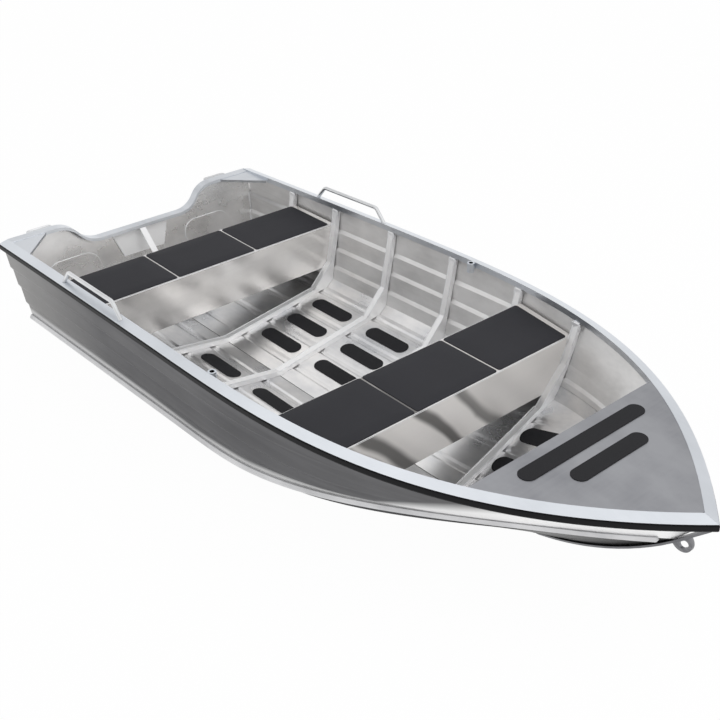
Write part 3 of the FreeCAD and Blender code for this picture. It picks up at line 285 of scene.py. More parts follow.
def metal_to_vary(name, **sheet):
    """A sheet metal with its node tree, its shader and what feeds the shader's base colour."""
    material = sheet_metal(name, **sheet)
    tree = material.node_tree
    shader = tree.nodes["Principled BSDF"]
    return material, tree, shader, shader.inputs["Base Color"].links[0].from_socket


def height_over_chine(tree):
    """Height of a place over the chine, whose level at ten stations is read from the strake."""
    found, strake = by_station(vertices_of("chine_strake_starboard"), STATION_REACH)
    stations = np.linspace(found[0], found[-1], CHINE_STOPS)
    levels = np.interp(stations, found, [near[:, 2].max() for near in strake])
    stops = [(station, (level, level, level)) for station, level in zip(stations, levels)]
    chine = tones_along(tree, object_axis(tree, "X"), HULL_SPAN, stops)
    return combine(tree, "SUBTRACT", object_axis(tree, "Z"), chine)


def painted_outer_tone(tree, stern, middle, bow):
    """Painted tone of the hull's outside, a painted reflection of dark surroundings and painted
    shade:
    it turns from the stern's to the one amidships and then to the bow's, under faint pale clouds
    and streaks."""
    along = object_axis(tree, "X")
    aft = mix_colours(tree, map_range(tree, along, STERN_TO_MIDDLE), stern, middle)
    tone = mix_colours(tree, map_range(tree, along, MIDDLE_TO_BOW), aft, bow)
    clouds = noise_on_object(tree, scale=2.0, detail=3.0, roughness=0.5, stretch=(0.6, 1.0, 1.5),
                             seed=(5.0, 2.0, 1.0))
    cloudy = map_range(tree, clouds, SCUFF_TURN, (0.0, CLOUD_SCUFF_SHARE))
    streaks = noise_on_object(tree, scale=30.0, detail=3.0, roughness=0.6, stretch=(0.02, 0.2, 1.0))
    streaky = map_range(tree, streaks, SCUFF_TURN, (0.0, STREAK_SCUFF_SHARE))
    return mix_colours(tree, streaky, mix_colours(tree, cloudy, tone, CLOUD_SCUFF), STREAK_SCUFF)


def painted_reflection_band(tree, tone):
    """The hull's outside with a painted reflection of the pale ground: a bright band over the
    chine, deeper and clearer towards the bow.
    """
    along = object_axis(tree, "X")
    depth = map_range(tree, along, BAND_GROWS, BAND_DEPTHS)
    share = combine(tree, "DIVIDE", height_over_chine(tree), depth)
    silver = mix_colours(tree, map_range(tree, along, BAND_CLEARS), REFLECTION_SILVER, WHITE)
    return mix_colours(tree, map_range(tree, share, BAND_EDGE), silver, tone)


def hull_metal(name, tones, edge, outside_axis, **sheet):
    """Plate metal whose face towards the water is painted darker than the face inside the boat, a
    painted reflection of dark surroundings and painted shade. The tones are those of the outside at
    the stern, amidships and at the bow, and the edge is the tint of what the outside mirrors at a
    low angle."""
    material, tree, shader, inner = metal_to_vary(name, **sheet)
    outer = painted_outer_tone(tree, *tones)
    if outside_axis == "Y":
        outward = combine(tree, "MULTIPLY", normal_axis(tree, "Y"), object_axis(tree, "Y"))
        # Painted reflection of the pale ground, as a bright band over the chine.
        outer = painted_reflection_band(tree, outer)
    else:
        outward = combine(tree, "MULTIPLY", normal_axis(tree, "Z"), -1.0)
    outside = map_range(tree, outward, (-FACE_TURN, FACE_TURN))
    tree.links.new(mix_colours(tree, outside, inner, outer), shader.inputs["Base Color"])
    tree.links.new(mix_colours(tree, outside, WHITE, edge), shader.inputs["Specular Tint"])
    return material


def edged_rail(name, **sheet):
    """Rail metal whose upright outer face is black like the rubber let into it. The face looks to
    port on the port side, to starboard on the other, and ahead at the bow."""
    material, tree, shader, bare = metal_to_vary(name, **sheet)
    side = map_range(tree, object_axis(tree, "Y"), (-CENTRE_TURN, CENTRE_TURN), (-1.0, 1.0))
    sideways = combine(tree, "MULTIPLY", normal_axis(tree, "Y"), side)
    outward = combine(tree, "ADD", sideways, normal_axis(tree, "X"))
    level = combine(tree, "ABSOLUTE", normal_axis(tree, "Z"))
    upright = map_range(tree, level, UPRIGHT_TURN, (1.0, 0.0))
    share = combine(tree, "MULTIPLY", map_range(tree, outward, OUTWARD_TURN), upright)
    tree.links.new(mix_colours(tree, share, bare, RUBBER_BLACK), shader.inputs["Base Color"])
    tree.links.new(combine(tree, "SUBTRACT", 1.0, share), shader.inputs["Metallic"])
    tree.links.new(mix_colours(tree, share, WHITE, DULL_EDGE), shader.inputs["Specular Tint"])
    return material


def painted_reflection_thwart(name, node, stops, **sheet):
    """Thwart metal with soft slanting streaks of painted reflection on its upright faces and
    painted shade on its underside. A streak lies where the breadth plus the height over the
    thwart's top is constant; the stops are such places from starboard to port, with the tone at
    each."""
    material, tree, shader, plain = metal_to_vary(name, grain=THWART_GRAIN, **sheet)
    top = vertices_of(node)[:, 2].max()
    below = combine(tree, "SUBTRACT", object_axis(tree, "Z"), top)
    wander = noise_on_object(tree, scale=3.0, detail=1.0, roughness=0.5)
    waver = map_range(tree, wander, MOST_NOISE, (-REFLECTION_STREAK_WAVER, REFLECTION_STREAK_WAVER))
    # Painted reflections: slanting streaks of tone multiplied into the thwart's colour.
    slant = combine(tree, "ADD", object_axis(tree, "Y"), below)
    across = combine(tree, "ADD", slant, waver)
    tinted = [(place, tuple(tone * part for part in REFLECTION_STREAK_TINT)) for place, tone in stops]
    streaks = tones_along(tree, across, THWART_SPAN, tinted, "EASE")
    reflection_streaked = add_node(tree, "ShaderNodeMix", data_type="RGBA", blend_type="MULTIPLY")
    reflection_streaked.inputs[0].default_value = 1.0
    tree.links.new(plain, reflection_streaked.inputs[6])
    tree.links.new(streaks, reflection_streaked.inputs[7])
    # Painted shade: faces that look down are darkened towards the underside's tone.
    under = map_range(tree, normal_axis(tree, "Z"), UNDERSIDE_SHADE_TURN, (1.0, 0.0))
    colour = mix_colours(tree, under, reflection_streaked.outputs[2], UNDERSIDE_SHADE_TONE)
    tree.links.new(colour, shader.inputs["Base Color"])
    return material


def socket_metal(name, **sheet):
    """Rail metal with painted shade inside the rowlock's bore, within a radius of the bore's axis.
    """
    material, tree, shader, bare = metal_to_vary(name, **sheet)
    mounts = frame["record"]["mounts"]
    bore = next(mount for mount in mounts if mount["name"] == "rowlock_port")["pos_m"]
    breadth = combine(tree, "ABSOLUTE", object_axis(tree, "Y"))
    squares = []
    for place, middle in ((object_axis(tree, "X"), bore[0]), (breadth, bore[1])):
        off = combine(tree, "SUBTRACT", place, float(middle))
        squares.append(combine(tree, "MULTIPLY", off, off))
    away = combine(tree, "SQRT", combine(tree, "ADD", *squares))
    # Painted shade inside the bore.
    inside = map_range(tree, away, BORE_EDGE, (1.0, 0.0))
    tree.links.new(mix_colours(tree, inside, bare, BORE_SHADE_TONE), shader.inputs["Base Color"])
    return material


def weld_metal(name):
    """Bright, slightly frosted weld."""
    material, tree, shader = new_material(name)
    shader.inputs["Metallic"].default_value = 0.5
    shader.inputs["Roughness"].default_value = 0.42
    speckle = noise_on_object(tree, scale=900.0, detail=2.0, roughness=0.6)
    colour = mix_colours(tree, map_range(tree, speckle, MOST_NOISE),
                         (0.82, 0.83, 0.84), (0.97, 0.97, 0.98))
    tree.links.new(colour, shader.inputs["Base Color"])
    add_bump(tree, shader, speckle, strength=0.3, distance=0.0002)
    return material


# Foam and rubber

FLECK_TURN = (0.45, 0.75)
PATCH_LIFT = 1.12


def soft_pad(name, tone, flecks, grain, depth, roughness, gloss):
    """Dense foam or rubber with a fine grain, faint flecks and patches a little lighter."""
    material, tree, shader = new_material(name)
    shader.inputs["Roughness"].default_value = roughness
    shader.inputs["Specular IOR Level"].default_value = gloss
    speckle = noise_on_object(tree, scale=grain, detail=2.0, roughness=0.7)
    patches = noise_on_object(tree, scale=6.0, detail=2.0, roughness=0.5)
    lighter = tuple(part * PATCH_LIFT for part in tone)
    base = mix_colours(tree, map_range(tree, patches, MOST_NOISE), tone, lighter)
    colour = mix_colours(tree, map_range(tree, speckle, FLECK_TURN), base, flecks)
    tree.links.new(colour, shader.inputs["Base Color"])
    add_bump(tree, shader, speckle, strength=0.6, distance=depth)
    return material


# The boat's finishes, some with painted reflection and shade. A painted reflection streak's stop
# is its place from starboard to port and its tone.

FORE_REFLECTION_STREAKS = ((-0.66, 0.20), (-0.59, 0.20), (-0.56, 0.9), (-0.52, 0.2), (-0.48, 0.2),
                (-0.43, 0.9), (-0.33, 1.0), (-0.27, 1.0), (-0.24, 0.2), (-0.21, 0.22),
                (-0.17, 1.0), (-0.06, 1.0), (-0.02, 0.3), (0.0, 0.34), (0.05, 0.9), (0.2, 0.74),
                (0.32, 0.84), (0.45, 0.78))
AFT_REFLECTION_STREAKS = ((-0.8, 0.66), (-0.6, 0.78), (-0.48, 0.68), (-0.34, 0.86), (-0.2, 0.78),
               (0.0, 0.96), (0.12, 0.86), (0.35, 1.0), (0.7, 1.0))

# The plates' outside tones are painted reflection and shade: lighter at the stern, darker forward.
side_metal = hull_metal(
    "side_plate_aluminium", light=(0.86, 0.855, 0.85), dark=(0.68, 0.675, 0.67), smooth=0.36,
    rough=0.48, ripple=0.0012, metallic=0.8, edge=(0.8, 0.8, 0.8), outside_axis="Y",
    tones=((0.34, 0.335, 0.33), (0.086, 0.086, 0.091), (0.07, 0.07, 0.07)))
bottom_metal = hull_metal(
    "bottom_plate_aluminium", light=(0.93, 0.92, 0.91), dark=(0.64, 0.65, 0.67), smooth=0.24,
    rough=0.36, ripple=0.0012, metallic=0.9, edge=DULL_EDGE, outside_axis="Z",
    tones=((0.12, 0.12, 0.12), (0.10, 0.10, 0.105), (0.08, 0.08, 0.08)))
rail_metal = sheet_metal(
    "rail_aluminium", light=(0.74, 0.765, 0.80), dark=(0.62, 0.645, 0.68), smooth=0.30, rough=0.38)
gunwale_metal = edged_rail(
    "gunwale_aluminium", light=(0.76, 0.79, 0.83), dark=(0.68, 0.71, 0.75), smooth=0.30,
    rough=0.38)
socket_bored = socket_metal(
    "rowlock_socket_aluminium", light=(0.80, 0.84, 0.89), dark=(0.70, 0.74, 0.79), smooth=0.30,
    rough=0.38)
frame_metal = sheet_metal(
    "frame_aluminium", light=(0.98, 0.98, 0.98), dark=(0.94, 0.94, 0.95), smooth=0.28, rough=0.40,
    metallic=0.35)
handle_metal = sheet_metal(
    "handle_aluminium", light=(0.80, 0.81, 0.82), dark=(0.62, 0.63, 0.64), smooth=0.30, rough=0.38)
transom_metal = sheet_metal(
    "transom_aluminium", light=(0.92, 0.915, 0.91), dark=(0.70, 0.70, 0.70), smooth=0.22,
    rough=0.34, grain=GRAIN_ACROSS, ripple=0.001)
# Both thwarts carry painted reflection streaks and painted shade underneath.
aft_thwart_metal = painted_reflection_thwart(
    "aft_thwart_aluminium", "aft_thwart", AFT_REFLECTION_STREAKS, light=(0.97, 0.96, 0.95),
    dark=(0.84, 0.835, 0.83), smooth=0.16, rough=0.26, ripple=0.003, metallic=0.6)
fore_thwart_metal = painted_reflection_thwart(
    "fore_thwart_aluminium", "fore_thwart", FORE_REFLECTION_STREAKS, light=(1.0, 0.985, 0.97),
    dark=(0.97, 0.955, 0.94), smooth=0.34, rough=0.44, ripple=0.0015, metallic=0.2)
motor_pad_metal = sheet_metal(
    "motor_pad_aluminium", light=(0.97, 0.97, 0.97), dark=(0.95, 0.95, 0.95), smooth=0.4,
    rough=0.5, metallic=0.1)
deck_metal = sheet_metal(
    "deck_aluminium", light=(0.39, 0.395, 0.415), dark=(0.285, 0.29, 0.31), smooth=0.38,
    rough=0.48, grain=GRAIN_ACROSS)
strake_metal = sheet_metal(
    "strake_aluminium", light=(0.66, 0.66, 0.67), dark=(0.46, 0.46, 0.47), smooth=0.25, rough=0.35)
keel_metal = sheet_metal(
    "keel_aluminium", light=(0.20, 0.20, 0.21), dark=(0.12, 0.12, 0.13), smooth=0.35, rough=0.45)
eye_metal = sheet_metal(
    "eye_aluminium", light=(0.26, 0.26, 0.27), dark=(0.14, 0.14, 0.15), smooth=0.3, rough=0.4,
    cloud_scale=30.0)
pad_foam = soft_pad(
    "seat_pad_foam", tone=(0.022, 0.022, 0.0265), flecks=(0.036, 0.037, 0.042), grain=1400.0,
    depth=0.00012, roughness=0.66, gloss=0.22)
tread_rubber = soft_pad(
    "tread_pad_rubber", tone=(0.013, 0.013, 0.015), flecks=(0.03, 0.03, 0.033), grain=900.0,
    depth=0.0003, roughness=0.7, gloss=0.2)
strip_rubber = soft_pad(
    "strip_rubber", tone=(0.004, 0.004, 0.005), flecks=(0.007, 0.007, 0.008), grain=400.0,
    depth=0.0001, roughness=0.42, gloss=0.15)
# Painted shade for the keel seam: a dark soft bead.
seam_shade_line = soft_pad(
    "seam_shadow", tone=(0.10, 0.10, 0.10), flecks=(0.16, 0.16, 0.16), grain=300.0,
    depth=0.0001, roughness=0.6, gloss=0.3)
weld = weld_metal("weld_bead")

FINISHES = (
    ("side_plate_", side_metal), ("bottom_plate_", bottom_metal), ("gunwale_", gunwale_metal),
    ("transom_cap", rail_metal), ("corner_plate_", rail_metal), ("side_handle_", handle_metal),
    ("transom_handle_", handle_metal), ("rowlock_socket_", socket_bored),
    ("transom_panel", transom_metal), ("rib_", frame_metal), ("transom_brace", frame_metal),
    ("motor_pad", motor_pad_metal), ("aft_thwart_pad", pad_foam), ("fore_thwart_pad", pad_foam),
    ("aft_thwart", aft_thwart_metal), ("fore_thwart", fore_thwart_metal),
    ("bow_deck", deck_metal), ("deck_pad", tread_rubber), ("floor_pads", tread_rubber),
    ("rubbing_strip", strip_rubber), ("chine_strake", strake_metal), ("keel_bar", keel_metal),
    ("bow_eye", eye_metal),
)

for name, node in NODES.items():
    finish = next(material for start, material in FINISHES if name.startswith(start))
    node.data.materials.clear()
    node.data.materials.append(finish)


# Thwart pads

# Slabs: points to a corner's arc and to the edge's quarter circle, and how far the rows close in
ARC_POINTS = 8
EDGE_POINTS = 5
CLOSED_SHRINK = 0.9995
INNER_ROW = 0.4

# Pads: their rounding, where a CAD pad's end corners are read, and what is left bare outboard
PAD_CORNER_RADIUS = 0.012
PAD_EDGE_RADIUS = 0.0022
PAD_END_BAND = 0.016
OUTBOARD_FROM = 0.4
OUTBOARD_MARGIN = 0.012


def rounded_outline(corners, radius):
    """Points along a convex outline whose corners are arcs. Each arc's middle lies on its corner's
    bisector, at the radius divided by the sine of half the corner, and its points turn about it."""
    before = np.roll(corners, 1, axis=0) - corners
    after = np.roll(corners, -1, axis=0) - corners
    before /= np.linalg.norm(before, axis=1, keepdims=True)
    after /= np.linalg.norm(after, axis=1, keepdims=True)
    half = np.arccos(np.clip((before * after).sum(axis=1), -1, 1)) / 2
    bisector = before + after
    bisector /= np.linalg.norm(bisector, axis=1, keepdims=True)
    middle = corners + bisector * (radius / np.sin(half))[:, None]
    start = np.arctan2(-bisector[:, 1], -bisector[:, 0]) - (np.pi / 2 - half)
    turn = start[:, None] + np.linspace(0, 1, ARC_POINTS)[None, :] * (np.pi - 2 * half)[:, None]
    arcs = middle[:, None, :] + radius * np.stack([np.cos(turn), np.sin(turn)], axis=-1)
    return arcs.reshape(-1, 2)


def pad_surface(outline, low, high, edge):
    """A slab over an outline: straight walls, an edge rounded by a quarter circle, and a top and a
    base that close to their middles. Each row is the outline drawn in towards the middle."""
    middle = outline.mean(axis=0)
    away = outline - middle
    reach = np.linalg.norm(away, axis=1).mean()
    turn = np.linspace(0, np.pi / 2, EDGE_POINTS)
    inset = np.concatenate([[reach, 0.0, 0.0], edge * (1 - np.cos(turn)),
                            [reach * INNER_ROW, reach]])
    level = np.concatenate([[low, low, high - edge], high - edge + edge * np.sin(turn),
                            [high, high]])
    shrink = 1 - np.minimum(inset / reach, CLOSED_SHRINK)
    flat = middle + away[None, :, :] * shrink[:, None, None]
    height = np.broadcast_to(level[:, None, None], (*flat.shape[:2], 1))
    return np.concatenate([flat, height], axis=2)


for thwart in ("aft", "fore"):
    for where in ("centre", "port", "starboard"):
        node = "%s_thwart_pad_%s" % (thwart, where)
        corners = vertices_of(node)
        low, high = corners.min(axis=0), corners.max(axis=0)
        aft = corners[corners[:, 0] < low[0] + PAD_END_BAND]
        fore = corners[corners[:, 0] > high[0] - PAD_END_BAND]
        ends = np.array([[low[0], aft[:, 1].min()], [high[0], fore[:, 1].min()],
                         [high[0], fore[:, 1].max()], [low[0], aft[:, 1].max()]])
        outboard = np.abs(ends[:, 1]) > OUTBOARD_FROM
        ends[outboard, 1] -= np.sign(ends[outboard, 1]) * OUTBOARD_MARGIN
        outline = rounded_outline(ends, PAD_CORNER_RADIUS)
        points, faces = join_grids([pad_surface(outline, low[2], high[2], PAD_EDGE_RADIUS)])
        pad = make_piece("seat_" + node, points, faces, pad_foam)
        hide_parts(node)


# Beads along paths

BEAD_SPACING = 0.02
BEAD_AROUND = 8


def tube_rings(path, radii, reference):
    """Rings of points round a path, square to its run. The run is the path's slope at each point,
    one side of the ring's plane is the run crossed with a reference, the other is square to both,
    and the ring is an ellipse with a radius along each."""
    run = np.gradient(path, axis=0)
    run /= np.linalg.norm(run, axis=1, keepdims=True)
    side = np.cross(run, np.array(reference, dtype=float))
    side /= np.linalg.norm(side, axis=1, keepdims=True)
    over = np.cross(run, side)
    turn = np.linspace(0, 2 * np.pi, BEAD_AROUND, endpoint=False)[None, :, None]
    return (path[:, None, :] + radii[0] * np.cos(turn) * side[:, None, :]
            + radii[1] * np.sin(turn) * over[:, None, :])


def tubes(name, paths, radius, reference, material, flat=1.0):
    """One piece of several beads with flat ends, round ones or flattened towards the reference."""
    rings = [tube_rings(path, (radius, radius * flat), reference) for path in paths]
    points, faces = join_grids(rings)
    start = 0
    for grid in rings:
        rows, columns, _ = grid.shape
        first = np.arange(columns)[::-1] + start
        last = np.arange(columns) + start + (rows - 1) * columns
        faces += [first.tolist(), last.tolist()]
        start += rows * columns
    make_piece(name, points, faces, material)


def divided(corners, spacing):
    """Points along a bent line, close together, with its corners kept."""
    lengths = np.linalg.norm(np.diff(corners, axis=0), axis=1)
    steps = np.maximum(1, np.ceil(lengths / spacing).astype(int))
    number = np.concatenate([[0], np.cumsum(steps)])
    even = np.arange(number[-1] + 1)
    return np.stack([np.interp(even, number, corners[:, axis]) for axis in range(3)], axis=1)


# Rib edges and the small plates at the ribs' tops

RIBS = [name for name in NODES if name.startswith("rib_")]

# How far under a rib's top it is looked at from, and how far its faces may lean fore or aft
EYE_DEPTH = 0.05
UPRIGHT_SHARE = 0.5

RIB_EDGE_RADIUS = 0.0024
TAB_SIZE = (0.050, 0.034)
TAB_THICK = 0.006
TAB_CORNER_RADIUS = 0.008
TAB_EDGE_RADIUS = 0.003
TAB_GAP = 0.003


def cockpit_line(node):
    """Breadths and heights of the corners of a rib's line towards the cockpit, from starboard to
    port: the corners of the faces that look at a point over the floor, sorted by their angle about
    it."""
    points = vertices_of(node)
    corners = points[triangles_of(node)]
    normals = np.cross(corners[:, 1] - corners[:, 0], corners[:, 2] - corners[:, 0])
    eye = np.array([points[:, 0].mean(), 0.0, points[:, 2].max() - EYE_DEPTH])
    facing = ((eye - corners.mean(axis=1)) * normals).sum(axis=1) > 0
    upright = np.abs(normals[:, 0]) < UPRIGHT_SHARE * np.linalg.norm(normals, axis=1)
    line = np.unique(np.round(corners[facing & upright].reshape(-1, 3)[:, 1:], 5), axis=0)
    return line[np.argsort(np.arctan2(line[:, 0], eye[2] - line[:, 1]))]


def rib_edges(node):
    """Bright beads along a rib's two edges towards the cockpit."""
    low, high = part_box(node)
    line = cockpit_line(node)
    paths = []
    for x in (low[0] + RIB_EDGE_RADIUS / 2, high[0] - RIB_EDGE_RADIUS / 2):
        paths.append(divided(np.column_stack([np.full(len(line), x), line]), BEAD_SPACING))
    tubes(node + "_edges", paths, RIB_EDGE_RADIUS, (1.0, 0.0, 0.0), weld)


def rib_tabs():
    """A small rounded plate at the top of each rib, under the gunwale's lip: a slab over a rounded
    rectangle, turned so that its top looks into the boat."""
    wide, tall = TAB_SIZE[0] / 2, TAB_SIZE[1] / 2
    corners = np.array([[-wide, -tall], [wide, -tall], [wide, tall], [-wide, tall]])
    outline = rounded_outline(corners, TAB_CORNER_RADIUS)
    slab = pad_surface(outline, -TAB_THICK, TAB_THICK / 2, TAB_EDGE_RADIUS)
    grids = []
    for node in RIBS:
        low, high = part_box(node)
        station = (low[0] + high[0]) / 2
        breadth, top = cockpit_line(node)[-1]
        level = top - TAB_SIZE[1] / 2 - TAB_GAP + slab[..., 1]
        for side in PORT_AND_STARBOARD:
            across = side * (breadth - slab[..., 2])
            grids.append(np.stack([station + side * slab[..., 0], across, level], axis=-1))
    points, faces = join_grids(grids)
    make_piece("rib_tabs", points, faces, weld)


for node in RIBS:
    rib_edges(node)
rib_tabs()


# Folds along the thwarts

THWART_FOLD_RADIUS = 0.003
FOLD_SWELL = 1.25
FOLD_SPACING = 0.1
SAME_PLACE = 0.001


def thwart_edges(node):
    """Rounded folds along a thwart's top edges."""
    points = vertices_of(node)
    low, high = points.min(axis=0), points.max(axis=0)
    top = points[points[:, 2] > high[2] - SAME_PLACE]
    level = high[2] - THWART_FOLD_RADIUS
    paths = []
    for x in (low[0], high[0]):
        half = np.abs(top[np.abs(top[:, 0] - x) < SAME_PLACE][:, 1]).max()
        inset = np.sign(low[0] + high[0] - 2 * x) * THWART_FOLD_RADIUS
        ends = np.array([[x + inset, -half, level], [x + inset, half, level]])
        paths.append(divided(ends, FOLD_SPACING))
    tubes(node + "_folds", paths, THWART_FOLD_RADIUS * FOLD_SWELL, (1.0, 0.0, 0.0), weld)


for node in ("aft_thwart", "fore_thwart"):
    thwart_edges(node)


# The transom leans aft, and its ovals and corner welds lie on its inner face.

TRANSOM_RAKE = math.radians(13)
TRANSOM_TOP = (-1.85, 0.440)
TRANSOM_PLATE = 0.003
OVAL_MIDDLE = (0.420, 0.190)
OVAL_RADIUS = 0.075
OVAL_STRAIGHT = 0.075
OVAL_POINTS = 49

# How steeply the bead crosses an oval's straight part as it turns past the top and the foot
OVAL_PARTING = 6

OVAL_BEAD_RADIUS, OVAL_BEAD_LIFT = 0.0035, 0.001
CORNER_WELD_RADIUS, CORNER_WELD_OFF = 0.004, 0.002
CORNER_WELD_BREADTH, CORNER_WELD_TOP = 0.6, 0.40


def on_transom(breadth, height, off):
    """Points on the transom's outer face at a height, moved square off it into the boat."""
    aft = TRANSOM_TOP[0] + (TRANSOM_TOP[1] - height) * math.tan(TRANSOM_RAKE)
    return np.stack([aft + off * math.cos(TRANSOM_RAKE), breadth,
                     height + off * math.sin(TRANSOM_RAKE)], axis=-1)


def oval_rims():
    """A bead round each pressed oval: two half circles joined by straight runs."""
    turn = np.linspace(0, 2 * np.pi, OVAL_POINTS)
    parting = OVAL_STRAIGHT * np.clip(np.cos(turn) * OVAL_PARTING, -1, 1)
    across = OVAL_RADIUS * np.cos(turn) + parting
    height = OVAL_MIDDLE[1] + OVAL_RADIUS * np.sin(turn) * math.cos(TRANSOM_RAKE)
    off = TRANSOM_PLATE + OVAL_BEAD_LIFT
    paths = [on_transom(side * OVAL_MIDDLE[0] + across, height, off) for side in PORT_AND_STARBOARD]
    square = (math.cos(TRANSOM_RAKE), 0.0, math.sin(TRANSOM_RAKE))
    tubes("oval_rims", paths, OVAL_BEAD_RADIUS, square, weld)


def corner_welds():
    """A weld up each corner between the transom and the side plate."""
    points = vertices_of("transom_panel")
    edge = points[(points[:, 1] > CORNER_WELD_BREADTH) & (points[:, 2] < CORNER_WELD_TOP)]
    line = np.unique(np.round(edge[:, 1:], 3), axis=0)
    line = line[np.argsort(line[:, 1])]
    paths = []
    for side in PORT_AND_STARBOARD:
        corners = on_transom(side * (line[:, 0] - CORNER_WELD_OFF), line[:, 1],
                             TRANSOM_PLATE + CORNER_WELD_OFF)
        paths.append(divided(corners, BEAD_SPACING))
    tubes("corner_welds", paths, CORNER_WELD_RADIUS, (1.0, 0.0, 0.0), weld)


oval_rims()
corner_welds()


# Deck tacks and the seam over the keel

DECK_TOP_DEPTH = 0.03
DECK_EDGE_TOLERANCE = 0.0005
TACK_MARGIN = 0.004
AFT_TACK_END, TIP_TACK_START = 0.075, 0.065
TACK_POINTS = 9
TACK_LIFT = 0.0004
TACK_RADIUS, TACK_FLATNESS = 0.006, 0.2

# The seam, and how near the centreline and a station its points are read
SEAM_RADIUS = 0.0016
SEAM_REACH = 0.004
SEAM_START, SEAM_END = 0.03, 1.3
SEAM_POINTS = 80


def deck_tacks():
    """Short flat welds over the joint of the deck and the gunwale, at the deck's aft corners and at
    its tip. The deck's edge is the farthest breadth at each station, which only falls forward."""
    deck = vertices_of("bow_deck")
    top = deck[deck[:, 2] > deck[:, 2].max() - DECK_TOP_DEPTH]
    _, outermost = by_station(top, STATION_REACH)
    edge = np.array([near[np.argmax(near[:, 1])] for near in outermost])
    falling = np.maximum.accumulate(edge[::-1, 1])[::-1]
    edge = edge[edge[:, 1] > falling - DECK_EDGE_TOLERANCE]
    aft, tip = edge[0, 0], edge[-1, 0]
    paths = []
    for start, end in ((aft + TACK_MARGIN, aft + AFT_TACK_END),
                       (tip - TIP_TACK_START, tip - TACK_MARGIN)):
        x = np.linspace(start, end, TACK_POINTS)
        y = np.interp(x, edge[:, 0], edge[:, 1])
        z = np.interp(x, edge[:, 0], edge[:, 2])
        for side in PORT_AND_STARBOARD:
            paths.append(np.column_stack([x, side * y, z + TACK_LIFT]))
    tubes("deck_tacks", paths, TACK_RADIUS, (0.0, 0.0, 1.0), weld,
          TACK_FLATNESS)


def keel_seam():
    """A dark bead of painted shade in the joint of the bottom plates on the centreline, inside the
    boat.
    """
    points = vertices_of("bottom_plate_port")
    stations, inner = by_station(points[points[:, 1] < SEAM_REACH], SEAM_REACH)
    height = [near[:, 2].max() for near in inner]
    x = np.linspace(stations[0] + SEAM_START, SEAM_END, SEAM_POINTS)
    path = np.column_stack([x, np.zeros_like(x), np.interp(x, stations, height)])
    tubes("keel_seam", [path], SEAM_RADIUS, (0.0, 0.0, 1.0), seam_shade_line)


deck_tacks()
keel_seam()


# Floor at the waterline

# Stations where the breadth is read, and how many of their spacings a crossing may lie off
WATERLINE_STATIONS = 80
WATERLINE_REACH = 1.5
FLOOR_STATIONS = 60
FLOOR_RADIUS = 24
FLOOR_RINGS = (0.0, 0.02, 0.1, 1.0)
FLOOR_TONE = (0.86, 0.86, 0.86)
FLOOR_ROUGHNESS = 0.9
WHITE_SHARE = 0.975


def waterline_points():
    """Where the edges of the port bottom plate and the transom cross the level of the water."""
    crossings = []
    for node in ("bottom_plate_port", "transom_panel"):
        corners = vertices_of(node)[triangles_of(node)]
        for first, second in ((0, 1), (1, 2), (2, 0)):
            start, end = corners[:, first], corners[:, second]
            across = start[:, 2] * end[:, 2] < 0
            start, end = start[across], end[across]
            share = start[:, 2:] / (start[:, 2:] - end[:, 2:])
            crossings.append(start + (end - start) * share)
    return np.concatenate(crossings)


def floor_sheet():
    """The floor round the boat: rings from the hull's waterline out to a wide circle of even steps,
    each a mix of the two outlines. The half breadth at a station is the farthest crossing near it,
    and never less than one farther forward; the stations are spaced as a cosine."""
    found = waterline_points()
    aft, fore = found[:, 0].min(), found[:, 0].max()
    even = np.linspace(aft, fore, WATERLINE_STATIONS)
    spacing = (even[1] - even[0]) * WATERLINE_REACH
    near = np.abs(found[None, :, 0] - even[:, None]) < spacing
    breadths = np.where(near, found[None, :, 1], 0.0).max(axis=1)
    breadths = np.maximum.accumulate(breadths[::-1])[::-1]
    spread = (1 - np.cos(np.linspace(0, np.pi, FLOOR_STATIONS))) / 2
    stations = aft + (fore - aft) * spread
    half = np.interp(stations, even, breadths)
    half[-1] = 0.0
    inner = np.concatenate([np.stack([stations, -half], axis=1),
                            np.stack([stations, half], axis=1)[::-1]])
    turn = np.linspace(-np.pi, np.pi, len(inner), endpoint=False) + np.pi / len(inner)
    outer = np.stack([FLOOR_RADIUS * np.cos(turn), FLOOR_RADIUS * np.sin(turn)], axis=1)
    share = np.array(FLOOR_RINGS)[:, None, None]
    flat = inner * (1 - share) + outer * share
    return join_grids([np.concatenate([flat, np.zeros((*flat.shape[:2], 1))], axis=2)])


def pale_ground(name):
    """Plain pale ground that the camera sees as white, also in mirrors and through glass."""
    material, tree, shader = new_material(name)
    shader.inputs["Base Color"].default_value = (*FLOOR_TONE, 1.0)
    shader.inputs["Roughness"].default_value = FLOOR_ROUGHNESS
    rays = add_node(tree, "ShaderNodeLightPath").outputs
    glow = add_node(tree, "ShaderNodeEmission", Color=(*WHITE, 1.0), Strength=1.0)
    blend = add_node(tree, "ShaderNodeMixShader")
    mirrored = combine(tree, "MAXIMUM", rays["Is Glossy Ray"], rays["Is Transmission Ray"])
    seen = combine(tree, "MAXIMUM", rays["Is Camera Ray"], mirrored)
    tree.links.new(combine(tree, "MULTIPLY", seen, WHITE_SHARE), blend.inputs[0])
    tree.links.new(shader.outputs[0], blend.inputs[1])
    tree.links.new(glow.outputs[0], blend.inputs[2])
    tree.links.new(blend.outputs[0], tree.nodes["Material Output"].inputs["Surface"])
    return material


points, faces = floor_sheet()
ground_mesh = bpy.data.meshes.new("ground")
ground_mesh.from_pydata(points.tolist(), [], faces)
ground = bpy.data.objects.new("ground", ground_mesh)
bpy.context.scene.collection.objects.link(ground)
ground_mesh.materials.append(pale_ground("pale_ground"))


# Light

OVERHEAD_CLOUD = (0.64, 0.64, 0.65)
OVERHEAD_TURN = (0.42, 0.58)
HORIZON_TO_OVERHEAD = (0.25, 0.45)


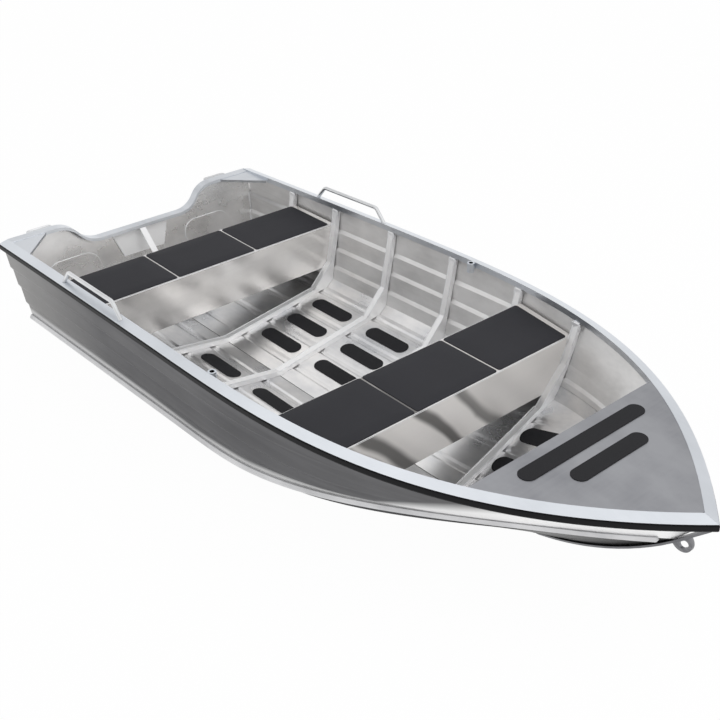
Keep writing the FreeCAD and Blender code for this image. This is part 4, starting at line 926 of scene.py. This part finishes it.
def studio_world():
    """A pale dome, white at the horizon and all round below it, and cloudy grey overhead."""
    world = bpy.data.worlds.new("studio")
    bpy.context.scene.world = world
    world.use_nodes = True
    tree = world.node_tree
    background = tree.nodes["Background"]
    place = add_node(tree, "ShaderNodeTexCoord")
    direction = add_node(tree, "ShaderNodeSeparateXYZ")
    tree.links.new(place.outputs["Generated"], direction.inputs[0])
    patches = add_node(tree, "ShaderNodeTexNoise", Scale=2.2, Detail=2.0)
    tree.links.new(place.outputs["Generated"], patches.inputs["Vector"])
    cloudy = map_range(tree, patches.outputs["Fac"], OVERHEAD_TURN)
    overhead = mix_colours(tree, cloudy, WHITE, OVERHEAD_CLOUD)
    height = map_range(tree, direction.outputs["Z"], HORIZON_TO_OVERHEAD)
    tree.links.new(mix_colours(tree, height, WHITE, overhead), background.inputs["Color"])
    background.inputs["Strength"].default_value = 1.0


def soft_light(name, place, target, size, power):
    """A round lamp at a place, turned to look at a target."""
    light = bpy.data.lights.new(name, "AREA")
    light.shape = "DISK"
    light.size = size
    light.energy = power
    lamp = bpy.data.objects.new(name, light)
    bpy.context.scene.collection.objects.link(lamp)
    lamp.location = place
    back = np.array(place, dtype=float) - np.array(target, dtype=float)
    yaw = math.atan2(back[0], -back[1])
    lamp.rotation_euler = (math.atan2(math.hypot(back[0], back[1]), back[2]), 0.0, yaw)


studio_world()
soft_light("overhead", place=(-0.5, 0.4, 4.5), target=(0.0, 0.0, 0.0), size=6.0, power=22.0)
soft_light("bow_side", place=(3.8, 1.2, 3.0), target=(0.3, 0.0, 0.2), size=3.0, power=30.0)


# Camera

IMAGE_SIZE = 720
FOCAL_PIXELS = 1120.6463
CENTRE_PIXELS = (378.7959, 355.7062)
SENSOR_WIDTH = 36.0
AZIMUTH = math.radians(48.2292)
ELEVATION = math.radians(31.1086)
ROLL = math.radians(0.2463)
CAMERA_PLACE = (3.2477, -2.7603, 2.8829)

camera_data = bpy.data.cameras.new("camera")
camera_data.sensor_width = SENSOR_WIDTH
camera_data.lens = FOCAL_PIXELS * SENSOR_WIDTH / IMAGE_SIZE
camera_data.shift_x = 0.5 - CENTRE_PIXELS[0] / IMAGE_SIZE
camera_data.shift_y = CENTRE_PIXELS[1] / IMAGE_SIZE - 0.5
camera = bpy.data.objects.new("camera", camera_data)
bpy.context.scene.collection.objects.link(camera)
back = np.array([math.sin(AZIMUTH) * math.cos(ELEVATION),
                 -math.cos(AZIMUTH) * math.cos(ELEVATION), math.sin(ELEVATION)])
right = np.array([math.cos(AZIMUTH), math.sin(AZIMUTH), 0.0])
up = np.cross(back, right)
matrix = np.eye(4)
matrix[:3, 0] = right * math.cos(ROLL) + up * math.sin(ROLL)
matrix[:3, 1] = up * math.cos(ROLL) - right * math.sin(ROLL)
matrix[:3, 2] = back
matrix[:3, 3] = CAMERA_PLACE
camera.matrix_world = Matrix(matrix.tolist())
bpy.context.scene.camera = camera
bpy.context.scene.view_settings.view_transform = "Standard"
